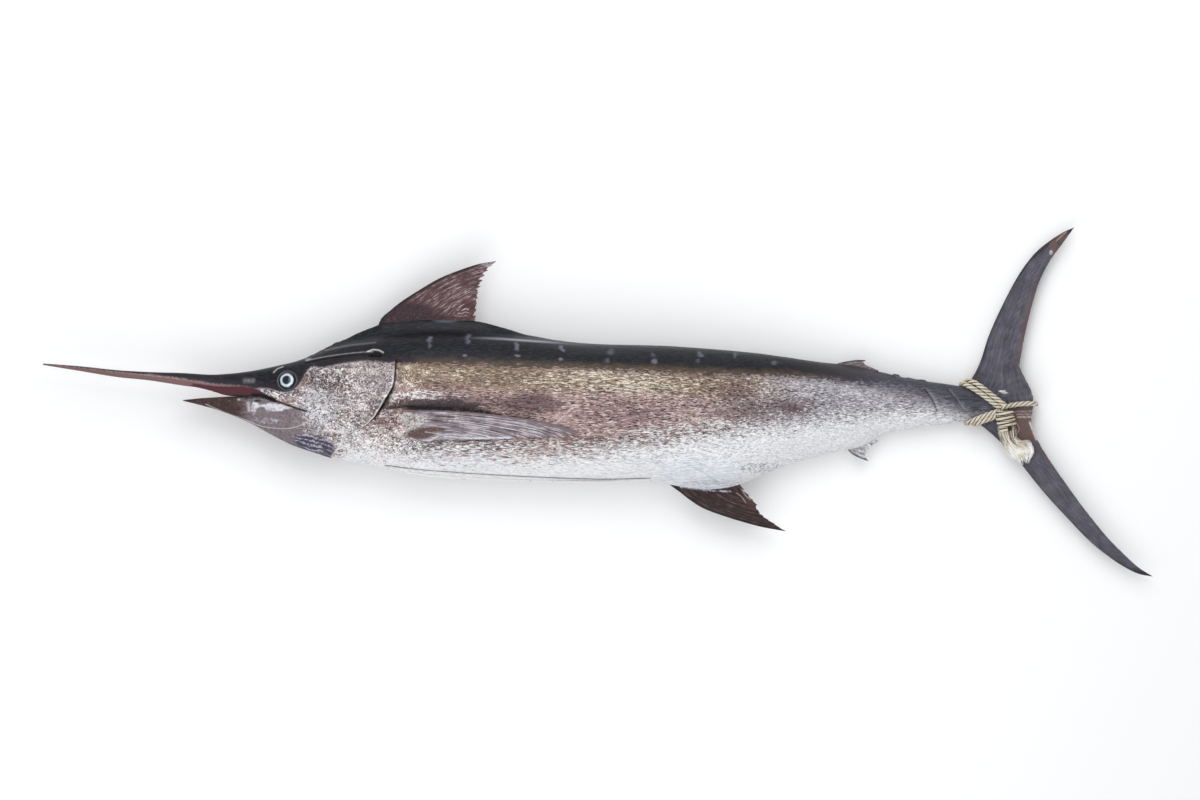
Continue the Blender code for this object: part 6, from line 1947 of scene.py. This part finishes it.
@dataclass(frozen=True)
class FrayedEnd:
    """The rope's unlaid end: wavy locks that end in a white tangle over the lower tail lobe."""

    left: Points = (
        (2.247, -0.056, 0.0215), (2.254, -0.085, 0.02), (2.266, -0.108, 0.0165),
        (2.285, -0.131, 0.0145), (2.3, -0.148, 0.013),
    )
    right: Points = (
        (2.285, -0.056, 0.0225), (2.287, -0.085, 0.0205), (2.306, -0.101, 0.0185),
        (2.322, -0.119, 0.0165), (2.318, -0.143, 0.014),
    )
    loop: Points = (
        (2.281, -0.08, 0.0215), (2.29, -0.093, 0.021), (2.303, -0.093, 0.02),
        (2.313, -0.0935, 0.0195), (2.32, -0.101, 0.0185), (2.325, -0.115, 0.017),
        (2.322, -0.13, 0.0155), (2.313, -0.147, 0.0135),
    )
    locks: int = 34
    fibres: int = 260

    def build(self) -> None:
        """Makes the tassel and dresses it."""
        chance = np.random.default_rng(23)
        mould = Mould()
        for k in range(self.locks):
            across = (k * 7 % self.locks + 0.5) / self.locks
            self.strand(mould, chance, across, False, chance.uniform(0.001, 0.0019), sides=8)
        for _ in range(3):
            self.strand(mould, chance, chance.uniform(), True, 0.0012, sides=8)
        for _ in range(self.fibres):
            looped, thickness = chance.uniform() < 0.25, chance.uniform(0.00026, 0.00055)
            self.strand(mould, chance, chance.uniform(-0.12, 1.15), looped, thickness, sides=4)
        # The same finish paints shade in the grooves between a lock's yarns.
        finish = RopeFinish("frayed_fibre", (0.66, 0.57, 0.45), (0.98, 0.97, 0.94), (0.085, 0.056, 0.038))
        settle(mould.cast("dressed_rope_end", finish.material()), "rope", "rope_frayed_end")

    def strand(
        self, mould: Mould, chance: np.random.Generator, across: float, looped: bool, thickness: float,
        sides: int,
    ) -> None:
        """Adds one lock or one loose fibre.

        Args:
            mould: What it is added to.
            chance: Where its waves and curls come from.
            across: Where it lies between the tassel's left and right edges.
            looped: Whether it follows the loop at the tassel's right instead.
            thickness: Its radius.
            sides: How many sides its tube has.
        """
        fine = thickness < 0.0008
        start, stop = (chance.uniform(0.0, 0.55), chance.uniform(0.75, 1.0)) if fine else (0.0, 1.0)
        share = np.linspace(start, stop, 26)
        reach = np.minimum(chance.uniform(0.84, 1.0 if fine else 1.04) * share, 1.0)
        if looped:
            line = along(self.loop, reach) + (across - 0.5) * np.array([0.004, 0.004, 0.002])
        else:
            line = along(self.left, reach)
            line = line + (along(self.right, reach) - line) * across
            line[:, 2] += 0.018 * across * (1.0 - across) * (1.0 - 0.7 * share)
        curl = chance.uniform(0.001, 0.0045 if fine else 0.0026) * ease(share, 0.02, 0.6)
        phase, turns = chance.uniform(0.0, 6.3, 2), chance.uniform(7.0, 22.0, 2)
        line[:, 0] += curl * np.sin(phase[0] + share * turns[0])
        line[:, 1] += curl * np.cos(phase[1] + share * turns[1])
        lift = 0.003 * chance.uniform(-0.8, 1.0) * np.sin(np.pi * share)
        line[:, 2] = np.maximum(line[:, 2] + lift - 0.0015 * share, 0.0085)
        radii = thickness * (1.0 - 0.75 * ease(share, 0.75, 1.0))
        worn = chance.uniform(0.3, 0.85)
        crown = worn + (0.95 - worn) * ease(share, 0.35, 0.75) * chance.uniform(0.5, 1.0)
        marks = {"crown": crown, "yarn": 1.0} if fine else {"crown": crown}
        sweep(mould, FORM.lay(*line.T), radii, sides, marks, yarns=0 if fine else 4)


@dataclass(frozen=True)
class PelvicFin:
    """A pelvic fin: a long thin blade folded into the groove along the belly."""

    node: str
    hand: int

    def build(self) -> None:
        """Makes the blade and dresses it."""
        share = np.linspace(0.0, 1.0, 120)
        station = 0.835 + 0.52 * share
        offset = np.minimum(1.0, (0.019 - 0.004 * share) / FORM.half_width.at(station))
        angle = -np.degrees(np.arccos(offset))
        angle = angle if self.hand > 0 else 180.0 - angle
        lift = 0.0012 - 0.008 * (1.0 - ease(share, 0.0, 0.06))
        line = FORM.on_skin(station, angle) + FORM.outward(station, angle) * lift[:, None]
        line[:, 2] = np.maximum(line[:, 2], 0.003)
        mould = Mould()
        sweep(mould, line, (0.004 - 0.0026 * share) * (1.0 - 0.9 * ease(share, 0.97, 1.0)), 12,
              {"fleck": 1.2, "back": 0.5, "ray": 0.5, "run": 0.5 * share, "spread": 0.0})
        settle(mould.cast("dressed_" + self.node, FINISHED["second_pale"]), "fin", self.node)


@dataclass(frozen=True)
class Studio:
    """A pale floor, soft lights and the camera that looks straight down."""

    picture_width: float = 2.82
    lens: float = 320.0
    sensor: float = 36.0
    level: float = 0.09
    centre: tuple[float, float] = (0.0035, 0.0047)

    def build(self) -> None:
        """Sets up everything that isn't part of the fish."""
        self.floor()
        self.light("key_light", (0.3, 2.6, 3.4), 3.0, 76.0)
        self.light("fill_light", (-1.0, -2.6, 3.0), 3.0, 52.0)
        self.light("top_light", (0.2, 0.2, 4.6), 3.4, 56.0)
        self.sky()
        self.camera()

    def floor(self) -> None:
        """The floor that the fish lies on."""
        bpy.ops.mesh.primitive_plane_add(size=14.0, location=(0.0, 0.0, 0.0))
        floor = bpy.context.object
        floor.name = "studio_floor"
        floor.data.materials.append(Recipe("pale_floor").dress((0.95, 0.95, 0.95), 0.9, specular=0.1))

    def light(self, name: str, place: tuple[float, float, float], size: float, power: float) -> None:
        """A square soft light that faces the fish."""
        data = bpy.data.lights.new(name, "AREA")
        data.size = size
        data.energy = power
        lamp = bpy.data.objects.new(name, data)
        lamp.location = place
        lamp.rotation_euler = (Vector((0.0, 0.0, 0.08)) - Vector(place)).to_track_quat("-Z", "Y").to_euler()
        bpy.context.scene.collection.objects.link(lamp)

    def sky(self) -> None:
        """An even pale surround."""
        world = bpy.data.worlds.new("studio_surround")
        world.use_nodes = True
        inputs = world.node_tree.nodes["Background"].inputs
        inputs["Color"].default_value = (0.95, 0.97, 1.0, 1.0)
        inputs["Strength"].default_value = 0.46
        bpy.context.scene.world = world
        bpy.context.scene.view_settings.view_transform = "Standard"

    def camera(self) -> None:
        """The camera, straight above the fish."""
        data = bpy.data.cameras.new("camera")
        data.lens = self.lens
        data.sensor_width = self.sensor
        distance = self.picture_width * self.lens / self.sensor
        data.clip_end = 100.0
        camera = bpy.data.objects.new("camera", data)
        camera.location = (*self.centre, self.level + distance)
        bpy.context.scene.collection.objects.link(camera)
        bpy.context.scene.camera = camera


def main() -> None:
    """Builds the dressed fish, piece by piece."""
    logging.basicConfig(level=logging.INFO, format="%(message)s")
    Studio().build()
    for name, finish in FIN_FINISHES.items():
        FINISHED[name] = finish.material()
    Skin().build()
    wet = EyeFinish().material()
    for hand, name in ((1, "eye_left"), (-1, "eye_right")):
        EyeBall(EyeSeat(hand)).build(name, wet)
    for fin in FINS:
        fin.build()
    for hand, node in ((1, "pelvic_fin_left"), (-1, "pelvic_fin_right")):
        PelvicFin(node, hand).build()
    Lashing().build()
    FrayedEnd().build()


if __name__ == "__main__":
    main()
